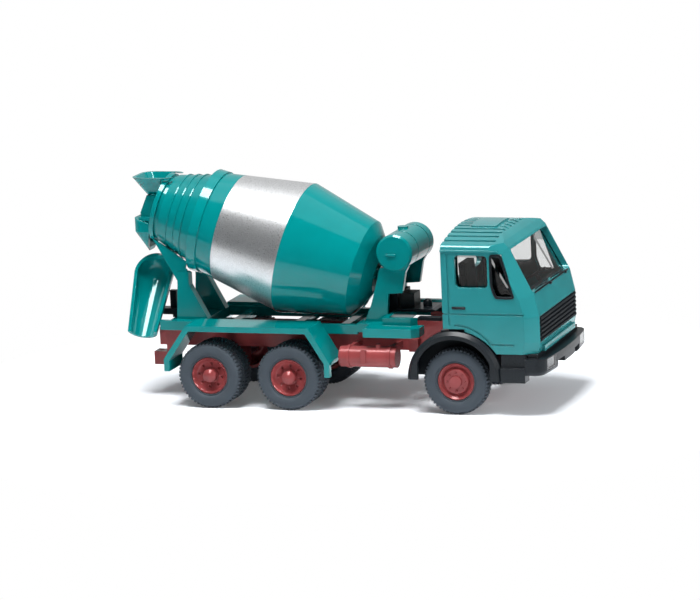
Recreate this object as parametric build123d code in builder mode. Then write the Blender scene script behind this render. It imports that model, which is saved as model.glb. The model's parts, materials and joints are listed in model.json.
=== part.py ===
from build123d import *
import os
from math import cos, radians, sin

os.makedirs("parts", exist_ok=True)

# A plastic scale model of a three-axle concrete mixer truck, in millimetres.
# +X is forward, +Y is the truck's left side, the wheels stand on Z = 0.
# Stations (names ending in _x) are measured from the front axle, heights (_z) from the ground,
# and half widths and the names ending in _y from the truck's middle plane.

# Wheels and axles
wheelbase = 30.5             # front axle to middle axle
tandem_gap = 14.7            # middle axle to rear axle
tyre_radius = 5.85
tyre_width = 3.1
bead_radius = 3.25           # where the tyre sits on the rim
twin_pitch = 3.5             # between the two tyres of a twin wheel
front_track_y = 13.6         # outer face of a front tyre
rear_track_y = 14.0          # outer face of a rear tyre
axle_pin_radius = 0.6
axle_clearance = 0.08

# Chassis
rail_inner_y = 3.4
rail_outer_y = 4.9
rail_bottom_z = 9.4
rail_top_z = 12.5
rail_raise_rear_x = -9.3     # the raised part of each rail under the cab's tail
rail_raise_front_x = -4.6
rail_raise_z = 14.7
side_box_rear_x = -10.5      # small box on the outside of each rail
side_box_front_x = -8.8
side_box_width = 1.4
side_box_top_z = 11.7
chassis_front_x = 13.0
chassis_rear_x = -56.4
member_half_length = 0.8     # of a cross member, along the truck
member_drop = 0.6            # of the cross members below the rails' top
member_behind_axle = 7.5     # the two cross members round the middle axle
member_ahead_of_axle = 8.5
cab_member_x = (-8.2, 6.5)   # cross members under the cab
axle_block_width = 2.4

# Cab
cab_half_width = 13.6
cab_wall = 0.8
cab_rear_x = -1.85
cab_bottom_z = 10.95
cab_tail_z = 15.2            # lower edge behind the wheel arch
nose_x = 14.95
nose_top_z = 17.4
nose_bend_z = 12.85          # where the nose turns in below the grille
nose_bend_depth = 0.4
screen_base_x = 14.1
screen_base_z = 21.2
screen_top_x = 9.9
screen_top_z = 29.3
roof_front_x = 8.9
roof_front_z = 30.25
roof_bend_x = 4.4            # where the roof begins to curve down to the windscreen
roof_crown_z = 31.5
roof_side_drop = 1.5         # from the crown to the roof's side
roof_edge_width = 1.3        # rounded edge between roof and side
roof_edge_height = 1.2
pillar_side = 2.3            # front corner bevel, on the side
pillar_front = 1.75          # front corner bevel, on the front
arch_radius = 9.1
drip_ledge_z = 29.0
drip_ledge_height = 0.3
drip_ledge_out = 0.25
groove_width = 0.75
groove_depth = 0.25
groove_count = 12
groove_margin = 2.325        # from the cab's side to the middle of the outermost groove
groove_front_x = 7.5
door_line_width = 0.3
door_line_depth = 0.15
hatch_rear_x = 0.9
hatch_front_x = 5.6
hatch_half_width = 4.2
hatch_height = 0.25
glass_thickness = 0.45

# Black front insert: bumper, arches and steps
bumper_front_x = 16.9
bumper_bow = 0.95            # how far the bumper's front falls back at its ends
bumper_end_x = 12.7
bumper_overhang = 0.6        # past the cab's side
bumper_corner_radius = 2.2
bumper_bottom_z = 7.25
bumper_bar_z = 8.8           # lower edge between the lamp housings and the number plate
bumper_top_z = 10.2
bumper_thickness = 1.2
bumper_edge_radius = 0.9
plate_bottom_z = 7.9
plate_half_width = 3.3
housing_inner_y = 7.0
lamp_inset = 4.1             # from the bumper's end to the lamp's middle
lamp_half_width = 2.15
lamp_bottom_z = 8.1
lamp_top_z = 10.0
lamp_depth = 0.9
mudguard_overhang = 0.9      # past the cab's side
mudguard_width = 3.3
mudguard_z = 6.3             # centre of the mudguard's arc
mudguard_radius = 8.5
mudguard_thickness = 0.6
lip_radius = 7.9
lip_inner_radius = 7.2
lip_leg_x = 6.5
shoulder_width = 0.7
step_bottom_z = 6.1
step_ledge_z = 8.6

# Mixer subframe and rear mudguards
beam_inner_y = 6.6
beam_outer_y = 7.6
beam_top_z = 14.3
beam_bottom_z = 12.6
beam_rear_x = -56.4
member_top_z = 13.6
platform_rear_x = -19.4
platform_shoulder_x = -17.0
platform_front_x = -7.0
platform_half_width = 12.0
platform_bottom_z = 13.0
platform_top_z = 14.6
platform_chamfer = 1.2
notch_rear_x = -13.4         # the notch is open to the front
notch_half_width = 8.0
plinth_rear_x = -14.3
plinth_front_x = -7.95
plinth_half_width = 9.0
plinth_top_z = 15.9
guard_y = 14.35
guard_thickness = 1.0
guard_top_z = 14.85
guard_front_reach = 7.9      # ahead of the middle axle
guard_front_bend = 4.3
guard_rear_reach = 8.2       # behind the rear axle
guard_rear_bend = 3.9
guard_fold_z = 8.8           # where a slope turns upright
guard_sheet_z = 8.2          # lower edge of the front flap
guard_strip_width = 1.0      # of the strip that hangs from the front flap
guard_strip_z = 6.2
guard_rear_z = 6.6

# Drum: its axis rises to the rear, distances along it run rearwards from the widest circle
drum_x = -32.46
drum_z = 26.4
drum_tilt = 16.0
drum_radius = 11.9
drum_wall = 1.0
band_length = 12.7
band_rear_radius = 9.7
ring_start = 15.8
ring_end = 17.6
ring_radius = 9.4
cone_start_radius = 8.4      # rear cone, right behind the ring
collar_distance = 24.4
collar_radius = 6.4
mouth_distance = 26.1
mouth_radius = 6.3
mouth_wall = 0.9
head_distance = 12.8
head_radius = 8.7
nose_distance = 15.7
nose_radius = 3.6
shaft_radius = 1.2
shaft_end = 17.6
drum_clearance = 0.35

# Water tank
tank_x = -12.45
tank_z = 26.9
tank_radius = 3.3
tank_half_length = 6.7
tank_bevel = 0.35
tank_groove_width = 0.35
tank_groove_depth = 0.2
filler_radius = 0.95
filler_y = 0.5

# Chute
swivel_x = -59.6
chute_slope = 53.0
chute_length = 11.9
chute_head_y = -1.2
chute_head_z = 21.9
chute_head_radius = 3.7
chute_end_radius = 2.75
chute_wall = 0.6
pivot_radius = 0.6
pivot_clearance = 0.06

axle_z = tyre_radius
middle_axle_x = -wheelbase
rear_axle_x = -wheelbase - tandem_gap
groove_pitch = 2 * (cab_half_width - groove_margin) / (groove_count - 1)
guard_front_x = middle_axle_x + guard_front_reach
guard_front_bend_x = middle_axle_x + guard_front_bend
guard_rear_x = rear_axle_x - guard_rear_reach
guard_rear_bend_x = rear_axle_x - guard_rear_bend
roof_side_z = roof_crown_z - roof_side_drop
bumper_half_width = cab_half_width + bumper_overhang
lamp_y = bumper_half_width - lamp_inset
mudguard_y = cab_half_width + mudguard_overhang
mudguard_inner_y = mudguard_y - mudguard_width
floor_z = mudguard_z + mudguard_radius

# The origin is midway between the bumper's front and the chute's head
front_axle_x = (chute_head_radius - swivel_x - bumper_front_x) / 2


def side_view(y=0.0):
    """Plane that looks at the right side: x from the front axle, y up, extruded to the right."""
    return Plane(origin=(front_axle_x, y, 0), x_dir=(1, 0, 0), z_dir=(0, -1, 0))


def top_view(z=0.0):
    """Plane that looks down: x from the front axle, y to the left, extruded upwards."""
    return Plane(origin=(front_axle_x, 0, z), x_dir=(1, 0, 0), z_dir=(0, 0, 1))


def cross_view(x=0.0):
    """Plane across the truck at a station: x to the left, y up, extruded forwards."""
    return Plane(origin=(front_axle_x + x, 0, 0), x_dir=(0, 1, 0), z_dir=(1, 0, 0))


def block(x_range, y_range, z_range, mode=Mode.ADD):
    """A box between two stations, two widths and two heights."""
    size = [high - low for low, high in (x_range, y_range, z_range)]
    middle = [(low + high) / 2 for low, high in (x_range, y_range, z_range)]
    with Locations((front_axle_x + middle[0], middle[1], middle[2])):
        Box(size[0], size[1], size[2], mode=mode)


# Drum axis and the point on it at a distance from the widest circle
tilt = radians(drum_tilt)
drum_axis = Vector(-cos(tilt), 0, sin(tilt))
drum_centre = Vector(front_axle_x + drum_x, 0, drum_z)
drum_view = Plane(origin=drum_centre, x_dir=drum_axis, z_dir=(0, 1, 0))


def drum_face(distance):
    """Plane square to the drum's axis, facing rearwards, at a distance from the widest circle."""
    return Plane(origin=drum_centre + drum_axis * distance, x_dir=(0, 1, 0), z_dir=drum_axis)


# Chassis frame: two rails, cross members and the blocks that carry the axle pins
axle_stations = {"front": 0.0, "middle": middle_axle_x, "rear": rear_axle_x}
member_stations = (chassis_rear_x + member_half_length, middle_axle_x - member_behind_axle,
                   middle_axle_x + member_ahead_of_axle, *cab_member_x, chassis_front_x - member_half_length)
with BuildPart() as chassis_frame:
    for side in (-1, 1):
        rail_y = sorted((side * rail_inner_y, side * rail_outer_y))
        block((chassis_rear_x, chassis_front_x), rail_y, (rail_bottom_z, rail_top_z))
        block((rail_raise_rear_x, rail_raise_front_x), rail_y, (rail_top_z, rail_raise_z))
        block((side_box_rear_x, side_box_front_x),
              sorted((side * rail_outer_y, side * (rail_outer_y + side_box_width))),
              (rail_bottom_z, side_box_top_z))
    for member_x in member_stations:
        block((member_x - member_half_length, member_x + member_half_length), (-rail_inner_y, rail_inner_y),
              (rail_bottom_z, rail_top_z - member_drop))
    for station in axle_stations.values():
        block((station - axle_block_width / 2, station + axle_block_width / 2),
              (-rail_outer_y, rail_outer_y), (axle_z - 1.4, rail_bottom_z + 0.5))
        with BuildSketch(side_view(rail_outer_y + 1)):
            with Locations((station, axle_z)):
                Circle(axle_pin_radius + axle_clearance)
        extrude(amount=2 * rail_outer_y + 2, mode=Mode.SUBTRACT)
chassis_frame.part.label = "chassis_frame"
export_step(chassis_frame.part, "parts/chassis_frame.step")

# Tow coupling: cross beam behind the rails with a jaw, bored upright for the pin
coupling_bottom_z = 4.9
coupling_top_z = 7.3
coupling_beam = 1.2
coupling_reach = 3.9
coupling_half_width = 1.3
coupling_bore_radius = 0.5
coupling_face_x = chassis_rear_x - coupling_beam
bracket_half_width = coupling_half_width + 0.5
with BuildPart() as tow_coupling:
    block((coupling_face_x, chassis_rear_x), (-rail_outer_y, rail_outer_y), (rail_bottom_z, rail_top_z))
    block((coupling_face_x, chassis_rear_x), (-bracket_half_width, bracket_half_width),
          (coupling_bottom_z, rail_bottom_z))
    block((chassis_rear_x - coupling_reach, coupling_face_x), (-coupling_half_width, coupling_half_width),
          (coupling_bottom_z, coupling_top_z))
    with BuildSketch(top_view()):
        with Locations((chassis_rear_x - coupling_reach + 2 * coupling_bore_radius, 0)):
            Circle(coupling_bore_radius)
    extrude(amount=coupling_top_z + 1, mode=Mode.SUBTRACT)
tow_coupling.part.label = "tow_coupling"
export_step(tow_coupling.part, "parts/tow_coupling.step")

# Fuel tank: a drum on the right side, hung on two straps from the rail
fuel_radius = 1.85
fuel_y = -10.6
fuel_z = 9.35
fuel_gap = 1.1               # from the rear mudguard's front flap to the tank
fuel_rear_x = guard_front_x + fuel_gap
fuel_front_x = -11.2
fuel_band_x = (fuel_rear_x + 4.1, fuel_rear_x + 5.0)
filler_neck_x = fuel_front_x - 3.4
with BuildPart() as fuel_tank:
    with BuildSketch(cross_view(fuel_rear_x)):
        with Locations((fuel_y, fuel_z)):
            Circle(fuel_radius)
    extrude(amount=fuel_front_x - fuel_rear_x)
    for strap_x in (fuel_rear_x + 1.6, fuel_front_x - 1.2):
        with BuildSketch(cross_view(strap_x - 0.25)):
            with Locations((fuel_y, fuel_z)):
                Circle(fuel_radius + 0.2)
        extrude(amount=0.5)
        block((strap_x - 0.4, strap_x + 0.4), (fuel_y, -rail_outer_y), (fuel_z + 0.6, fuel_z + 1.8))
    block(fuel_band_x, (fuel_y - fuel_radius - 0.15, fuel_y), (fuel_z - 0.9, fuel_z + 1.4))
    with BuildSketch(top_view(fuel_z)):
        with Locations((filler_neck_x, fuel_y - 0.4)):
            Circle(0.45)
    extrude(amount=fuel_radius + 0.5)
fuel_tank.part.label = "fuel_tank"
export_step(fuel_tank.part, "parts/fuel_tank.step")

# Battery box on the left side, opposite the fuel tank, on two arms from the rail
battery_rear_x = guard_front_x + 2.6
battery_front_x = -12.0
battery_inner_y = 8.6
battery_outer_y = 12.4
battery_z = (7.8, 11.6)
battery_arm_z = (10.0, 11.2)
battery_arm_width = 0.8
with BuildPart() as battery_box:
    block((battery_rear_x, battery_front_x), (battery_inner_y, battery_outer_y), battery_z)
    for arm_x in (battery_rear_x + 1.4, battery_front_x - 2.2):
        block((arm_x, arm_x + battery_arm_width), (rail_outer_y, battery_inner_y), battery_arm_z)
battery_box.part.label = "battery_box"
export_step(battery_box.part, "parts/battery_box.step")


# Cab: a prism of its side view with bevelled front corners, cut to its crowned cross section
def cab_block(inset, low_z):
    """The cab's outline pulled in by an inset, standing on low_z."""
    half = cab_half_width - inset
    with BuildPart() as shape:
        with BuildSketch(side_view()):
            with BuildLine():
                TangentArc((roof_bend_x, roof_crown_z + 0.15 - inset),
                           (roof_front_x - 0.7 * inset, roof_front_z - 0.9 * inset), tangent=(1, 0))
                Polyline((roof_front_x - 0.7 * inset, roof_front_z - 0.9 * inset),
                         (screen_top_x - 1.1 * inset, screen_top_z - 0.6 * inset),
                         (screen_base_x - inset, screen_base_z),
                         (nose_x - inset, nose_top_z),
                         (nose_x - inset, nose_bend_z),
                         (nose_x - inset - nose_bend_depth, low_z),
                         (cab_rear_x + inset, low_z),
                         (cab_rear_x + inset, roof_crown_z + 0.15 - inset),
                         (roof_bend_x, roof_crown_z + 0.15 - inset))
            make_face()
        extrude(amount=half, both=True)
        for side_face in (shape.faces().sort_by(Axis.Y)[0], shape.faces().sort_by(Axis.Y)[-1]):
            front_edges = [edge for edge in side_face.edges()
                           if edge.center().X > front_axle_x + (roof_front_x + roof_bend_x) / 2 + 1
                           and edge.center().Z > low_z + 0.1]
            chamfer(front_edges, length=pillar_side, length2=pillar_front, reference=side_face)
        edge_z = roof_side_z - inset
        with BuildSketch(cross_view(cab_rear_x - 1)):
            with BuildLine():
                Polyline((-half, edge_z - roof_edge_height), (-half, low_z - 1), (half, low_z - 1),
                         (half, edge_z - roof_edge_height))
                ThreePointArc((half, edge_z - roof_edge_height),
                              (half - 0.3 * roof_edge_width, edge_z - 0.3 * roof_edge_height),
                              (half - roof_edge_width, edge_z))
                ThreePointArc((half - roof_edge_width, edge_z), (0, roof_crown_z - inset),
                              (-half + roof_edge_width, edge_z))
                ThreePointArc((-half + roof_edge_width, edge_z),
                              (-half + 0.3 * roof_edge_width, edge_z - 0.3 * roof_edge_height),
                              (-half, edge_z - roof_edge_height))
            make_face()
        extrude(amount=nose_x - cab_rear_x + 3, mode=Mode.INTERSECT)
    return shape.part


cab_outer = cab_block(0, cab_bottom_z)
cab_inner = cab_block(cab_wall, cab_bottom_z - 4)
cab_glass_inner = cab_block(cab_wall + glass_thickness, cab_bottom_z - 4)
cab_under_grooves = cab_block(groove_depth, cab_bottom_z - 2)
cab_under_door_lines = cab_block(door_line_depth, cab_bottom_z - 2)
cab_over_hatch = cab_block(-hatch_height, cab_bottom_z)

# Window outlines in the side view: the door window and the quarter window ahead of it
door_window = (0.6, 6.45, 22.45, 28.1)      # rear, front, sill, top
quarter_window = ((7.0, 28.2), (7.0, 22.9), (7.75, 20.8), (10.95, 20.8), (8.85, 28.2))
screen_sill_z = 21.5
screen_head_z = 28.9
screen_low_half = cab_half_width - 1.7
screen_top_half = cab_half_width - 2.1
rear_window_z = 25.2
rear_window_width = 14.0
rear_window_height = 4.6
glazing_z = (20.2, 28.9)
waist_z = 17.85
door_rear_x = -0.65
door_front_x = 10.8
door_low_z = 12.6
door_arch_x = 6.6
door_arch_top_z = 15.87

# Grille panel let into the nose
grille_half_width = cab_half_width - pillar_front - 0.1
grille_low_z = nose_bend_z
grille_top_z = nose_top_z - 0.1
grille_depth = 0.35

with BuildPart() as roof_grooves:
    for number in range(groove_count):
        groove_y = (number - (groove_count - 1) / 2) * groove_pitch
        block((cab_rear_x - 1, groove_front_x), (groove_y - groove_width / 2, groove_y + groove_width / 2),
              (roof_side_z - 2, roof_crown_z + 1))
    block((hatch_rear_x - 0.4, hatch_front_x + 0.4), (-hatch_half_width - 0.4, hatch_half_width + 0.4),
          (roof_side_z - 3, roof_crown_z + 2), mode=Mode.SUBTRACT)
    add(cab_under_grooves, mode=Mode.SUBTRACT)

# Door lines: the rear shut line, the line over the wheel arch, the sill line and the waist line
with BuildPart() as door_lines:
    with BuildSketch(side_view(cab_half_width + 1)):
        with BuildLine():
            Line((door_rear_x, drip_ledge_z - 0.6), (door_rear_x, door_arch_top_z))
            ThreePointArc((0.2, door_arch_top_z), (3.39, 15.21), (door_arch_x, door_low_z))
            Line((door_arch_x, door_low_z), (door_front_x, door_low_z))
            Line((cab_rear_x - 1, waist_z), (nose_x - pillar_side, waist_z))
        trace(line_width=door_line_width)
    extrude(amount=2 * cab_half_width + 2)
    add(cab_under_door_lines, mode=Mode.SUBTRACT)

with BuildPart() as roof_hatch:
    add(cab_over_hatch)
    block((hatch_rear_x, hatch_front_x), (-hatch_half_width, hatch_half_width),
          (roof_side_z - 0.2, roof_crown_z + 2), mode=Mode.INTERSECT)
    fillet(roof_hatch.edges().filter_by(Axis.Z), 0.6)

with BuildPart() as cab_shell:
    add(cab_outer)
    add(roof_hatch.part)
    for side in (-1, 1):
        ledge_y = sorted((side * (cab_half_width - 0.3), side * (cab_half_width + drip_ledge_out)))
        block((cab_rear_x, roof_front_x - 0.4), ledge_y, (drip_ledge_z - drip_ledge_height, drip_ledge_z))
    block((nose_x - 1, nose_x + 0.3), (-10, 10), (cab_bottom_z, cab_bottom_z + 1.0))
    add(cab_inner, mode=Mode.SUBTRACT)
    add(roof_grooves.part, mode=Mode.SUBTRACT)
    add(door_lines.part, mode=Mode.SUBTRACT)
    with BuildSketch(side_view(cab_half_width + 1)):
        with Locations((0, axle_z)):
            Circle(arch_radius)
        with Locations((-2, cab_tail_z / 2)):
            Rectangle(8.0, cab_tail_z)
        with Locations(((door_window[0] + door_window[1]) / 2, (door_window[2] + door_window[3]) / 2)):
            RectangleRounded(door_window[1] - door_window[0], door_window[3] - door_window[2], 0.8)
        with BuildLine():
            Polyline(*quarter_window, close=True)
        make_face()
    extrude(amount=2 * cab_half_width + 2, mode=Mode.SUBTRACT)
    with BuildSketch(cross_view(screen_top_x - 4)):
        with BuildLine():
            Polyline((-screen_low_half, screen_sill_z), (screen_low_half, screen_sill_z),
                     (screen_top_half, screen_head_z), (-screen_top_half, screen_head_z), close=True)
        screen_face = make_face()
        fillet(screen_face.vertices(), 0.6)
    extrude(amount=12, mode=Mode.SUBTRACT)
    with BuildSketch(cross_view(cab_rear_x - 1)):
        with Locations((0, rear_window_z)):
            RectangleRounded(rear_window_width, rear_window_height, 0.8)
    extrude(amount=cab_wall + 1.5, mode=Mode.SUBTRACT)
    block((nose_x - grille_depth, nose_x + 1), (-grille_half_width, grille_half_width),
          (grille_low_z, grille_top_z), mode=Mode.SUBTRACT)
cab_shell.part.label = "cab_shell"
export_step(cab_shell.part, "parts/cab_shell.step")

# Cab glazing: one clear insert behind all the window openings
with BuildPart() as cab_glazing:
    add(cab_inner)
    block((cab_rear_x, nose_x), (-cab_half_width, cab_half_width), glazing_z, mode=Mode.INTERSECT)
    add(cab_glass_inner, mode=Mode.SUBTRACT)
cab_glazing.part.label = "cab_glazing"
export_step(cab_glazing.part, "parts/cab_glazing.step")

# Cab interior: floor, dashboard and two seats in one black piece
dashboard_half_width = cab_half_width - 1.6
dashboard_top_z = 20.8
seat_y = 7.0
seat_half_width = 3.0
seat_rear_x = 1.2
seat_front_x = 6.4
cushion_top_z = 18.6
backrest_half_width = 2.8
backrest_top_z = 26.0
cab_inside_y = cab_half_width - cab_wall
with BuildPart() as cab_interior:
    block((cab_rear_x + cab_wall, nose_x - cab_wall - 0.5), (-cab_inside_y, cab_inside_y),
          (floor_z, floor_z + 0.7))
    with BuildSketch(side_view(dashboard_half_width)):
        with BuildLine():
            Polyline((10.6, floor_z), (13.4, floor_z), (12.9, dashboard_top_z - 1.0), (12.2, dashboard_top_z),
                     (11.0, dashboard_top_z), (10.2, dashboard_top_z - 1.6), close=True)
        make_face()
    extrude(amount=2 * dashboard_half_width)
    for side in (-1, 1):
        block((seat_rear_x, seat_front_x), (side * seat_y - seat_half_width, side * seat_y + seat_half_width),
              (floor_z, cushion_top_z))
        with BuildSketch(side_view(side * seat_y + backrest_half_width)):
            with BuildLine():
                Polyline((seat_rear_x - 0.2, floor_z), (seat_rear_x + 1.4, floor_z),
                         (seat_rear_x + 0.2, backrest_top_z), (seat_rear_x - 1.0, backrest_top_z), close=True)
            make_face()
        extrude(amount=2 * backrest_half_width)
    add(cab_inner, mode=Mode.INTERSECT)
    add(cab_glazing.part, mode=Mode.SUBTRACT)
cab_interior.part.label = "cab_interior"
export_step(cab_interior.part, "parts/cab_interior.step")

# Steering wheel on its column, on the left
steering_lean = radians(28)
steering_radius = 2.0
steering_ring = 0.4
wheel_plane = Plane(origin=(front_axle_x + 9.0, seat_y, 21.0), x_dir=(0, 1, 0),
                    z_dir=(-sin(steering_lean), 0, cos(steering_lean)))
with BuildPart() as steering_wheel:
    with BuildSketch(wheel_plane):
        Circle(steering_radius)
        Circle(steering_radius - steering_ring, mode=Mode.SUBTRACT)
        Rectangle(2 * steering_radius - steering_ring, 0.5)
        Circle(0.5)
    extrude(amount=steering_ring)
    with BuildSketch(wheel_plane):
        Circle(0.35)
    extrude(amount=-3.0)
    add(cab_interior.part, mode=Mode.SUBTRACT)
steering_wheel.part.label = "steering_wheel"
export_step(steering_wheel.part, "parts/steering_wheel.step")

# Grille: a black panel with horizontal slats, let into the nose
slat_count = 6
slat_height = 0.34
with BuildPart() as grille:
    block((nose_x - grille_depth, nose_x - 0.05), (-grille_half_width, grille_half_width),
          (grille_low_z, grille_top_z))
    for number in range(slat_count):
        slat_z = grille_low_z + (number + 0.5) * (grille_top_z - grille_low_z) / slat_count
        block((nose_x - 0.1, nose_x + 0.2), (-grille_half_width + 0.3, grille_half_width - 0.3),
              (slat_z - slat_height / 2, slat_z + slat_height / 2))
grille.part.label = "grille"
export_step(grille.part, "parts/grille.step")

# Bumper: a bowed bar with deep lamp housings and a number plate in the middle
bumper_side_x = bumper_front_x - bumper_bow
with BuildPart() as bumper_form:
    with BuildSketch(top_view(bumper_bottom_z)):
        with BuildLine():
            ThreePointArc((bumper_side_x, -bumper_half_width), (bumper_front_x, 0),
                          (bumper_side_x, bumper_half_width))
            Polyline((bumper_side_x, bumper_half_width), (bumper_end_x, bumper_half_width),
                     (bumper_end_x, -bumper_half_width), (bumper_side_x, -bumper_half_width))
        make_face()
        fillet(vertices().sort_by(Axis.X)[-2:], bumper_corner_radius)
    extrude(amount=bumper_top_z - bumper_bottom_z)
    low_edges = bumper_form.faces().sort_by(Axis.Z)[0].edges()
    front_edges = [edge for edge in low_edges if edge.center().X > front_axle_x + bumper_end_x + 0.1]
    fillet(front_edges, bumper_edge_radius)

with BuildPart() as lamp_pockets:
    for side in (-1, 1):
        block((bumper_side_x - lamp_depth, bumper_front_x + 1),
              (side * lamp_y - lamp_half_width, side * lamp_y + lamp_half_width), (lamp_bottom_z, lamp_top_z))

bumper_inside_y = bumper_half_width - bumper_thickness
bumper_back_x = bumper_side_x - lamp_depth - 0.3
with BuildPart() as bumper:
    add(bumper_form.part)
    block((bumper_end_x - 1, bumper_back_x), (-bumper_inside_y, bumper_inside_y), (0, 20), mode=Mode.SUBTRACT)
    block((bumper_end_x, 20), (-housing_inner_y, housing_inner_y), (bumper_bottom_z - 1, plate_bottom_z),
          mode=Mode.SUBTRACT)
    for side in (-1, 1):
        block((bumper_end_x, 20), sorted((side * plate_half_width, side * housing_inner_y)),
              (bumper_bottom_z - 1, bumper_bar_z), mode=Mode.SUBTRACT)
    block((chassis_front_x, bumper_back_x), (-bumper_inside_y, bumper_inside_y), (bumper_bar_z, cab_bottom_z))
    add(lamp_pockets.part, mode=Mode.SUBTRACT)
bumper.part.label = "bumper"
export_step(bumper.part, "parts/bumper.step")

# Headlamps: two clear blocks that fill the bumper's pockets
with BuildPart() as headlamps:
    add(lamp_pockets.part)
    add(bumper_form.part, mode=Mode.INTERSECT)
headlamps.part.label = "headlamps"
export_step(headlamps.part, "parts/headlamps.step")

# Front mudguards: a half ring with a rolled shoulder and an upright lip, and the step box in front of it
arch_axis = Axis((front_axle_x, 0, mudguard_z), (0, 1, 0))
arch_view = Plane(origin=(front_axle_x, 0, mudguard_z), x_dir=(0, 1, 0), z_dir=(0, 0, 1))
step_rear_x = mudguard_radius - 0.15
step_y = mudguard_y - 0.2
under_radius = mudguard_radius - mudguard_thickness
for side_name, side in (("right", -1), ("left", 1)):
    with BuildPart() as front_mudguard:
        with BuildSketch(arch_view):
            with BuildLine():
                Polyline((side * mudguard_y, lip_inner_radius), (side * mudguard_y, lip_radius),
                         (side * (mudguard_y - shoulder_width), mudguard_radius),
                         (side * mudguard_inner_y, mudguard_radius), (side * mudguard_inner_y, under_radius),
                         (side * (mudguard_y - 0.9), under_radius),
                         (side * (mudguard_y - mudguard_thickness), lip_inner_radius), close=True)
            make_face()
        revolve(axis=arch_axis, revolution_arc=180)
        with BuildSketch(side_view(max(side * mudguard_y, side * (mudguard_y - mudguard_thickness)))):
            with Locations((0, mudguard_z)):
                Circle(lip_radius)
            with Locations((0, mudguard_z)):
                Rectangle(2 * lip_leg_x, 40, mode=Mode.SUBTRACT)
            with Locations((0, mudguard_z - 10)):
                Rectangle(40, 20, mode=Mode.SUBTRACT)
        extrude(amount=mudguard_thickness)
        block((-2.5, 2.5), sorted((side * mudguard_inner_y, side * (cab_half_width - cab_wall))),
              (mudguard_z + under_radius, floor_z))
        with BuildSketch(cross_view(step_rear_x)):
            with BuildLine():
                Polyline((side * (step_y - 2.7), step_bottom_z), (side * step_y, step_bottom_z),
                         (side * step_y, step_ledge_z), (side * (step_y - 0.8), step_ledge_z),
                         (side * (step_y - 0.8), cab_bottom_z), (side * (step_y - 2.7), cab_bottom_z),
                         close=True)
            make_face()
        extrude(amount=bumper_end_x - step_rear_x)
    name = "front_mudguard_" + side_name
    front_mudguard.part.label = name
    export_step(front_mudguard.part, f"parts/{name}.step")

# Mixer subframe: two beams, cross members, and the notched front platform with its plinth
with BuildPart() as mixer_subframe:
    for side in (-1, 1):
        beam_y = sorted((side * beam_inner_y, side * beam_outer_y))
        block((beam_rear_x, platform_rear_x), beam_y, (beam_bottom_z, beam_top_z))
    for member_x in (beam_rear_x + 1.2, -44.0, -32.0, -23.0):
        block((member_x - member_half_length, member_x + member_half_length), (-beam_inner_y, beam_inner_y),
              (rail_top_z, member_top_z))
    block((-53.9, -48.4), (-beam_inner_y, beam_inner_y), (rail_top_z, beam_top_z))
    with BuildSketch(top_view(platform_bottom_z)):
        with BuildLine():
            outline = [(platform_rear_x, beam_outer_y), (platform_shoulder_x, beam_outer_y),
                       (platform_shoulder_x, platform_half_width),
                       (platform_front_x - platform_chamfer, platform_half_width),
                       (platform_front_x, platform_half_width - platform_chamfer),
                       (platform_front_x, notch_half_width), (notch_rear_x, notch_half_width)]
            Polyline(*outline, *[(x, -y) for x, y in reversed(outline)], close=True)
        make_face()
    extrude(amount=platform_top_z - platform_bottom_z)
    block((platform_rear_x, notch_rear_x), (-rail_outer_y, rail_outer_y), (rail_top_z, platform_bottom_z))
    with BuildSketch(top_view(platform_top_z)):
        with BuildLine():
            outline = [(plinth_rear_x, plinth_half_width),
                       (plinth_front_x - platform_chamfer, plinth_half_width),
                       (plinth_front_x - 0.2, notch_half_width), (notch_rear_x, notch_half_width)]
            Polyline(*outline, *[(x, -y) for x, y in reversed(outline)], close=True)
        make_face()
    extrude(amount=plinth_top_z - platform_top_z)
mixer_subframe.part.label = "mixer_subframe"
export_step(mixer_subframe.part, "parts/mixer_subframe.step")

# Rear mudguards: a folded sheet over each pair of twin wheels
guard_under_z = guard_top_z - guard_thickness
for side_name, side in (("right", -1), ("left", 1)):
    with BuildPart() as rear_mudguard:
        with BuildSketch(side_view(guard_y if side > 0 else -beam_outer_y)):
            with BuildLine():
                Polyline((guard_rear_x, guard_rear_z), (guard_rear_x, guard_fold_z),
                         (guard_rear_bend_x, guard_top_z), (guard_front_bend_x, guard_top_z),
                         (guard_front_x, guard_fold_z),
                         (guard_front_x, guard_sheet_z), (guard_front_x - guard_thickness, guard_sheet_z),
                         (guard_front_x - guard_thickness, guard_fold_z - 0.2),
                         (guard_front_bend_x - 0.7, guard_under_z), (guard_rear_bend_x + 0.5, guard_under_z),
                         (guard_rear_x + guard_thickness, guard_fold_z - 0.3),
                         (guard_rear_x + guard_thickness, guard_rear_z), close=True)
            make_face()
        extrude(amount=guard_y - beam_outer_y)
        block((guard_front_x - guard_thickness, guard_front_x),
              sorted((side * guard_y, side * (guard_y - guard_strip_width))), (guard_strip_z, guard_sheet_z))
    name = "rear_mudguard_" + side_name
    rear_mudguard.part.label = name
    export_step(rear_mudguard.part, f"parts/{name}.step")

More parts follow.
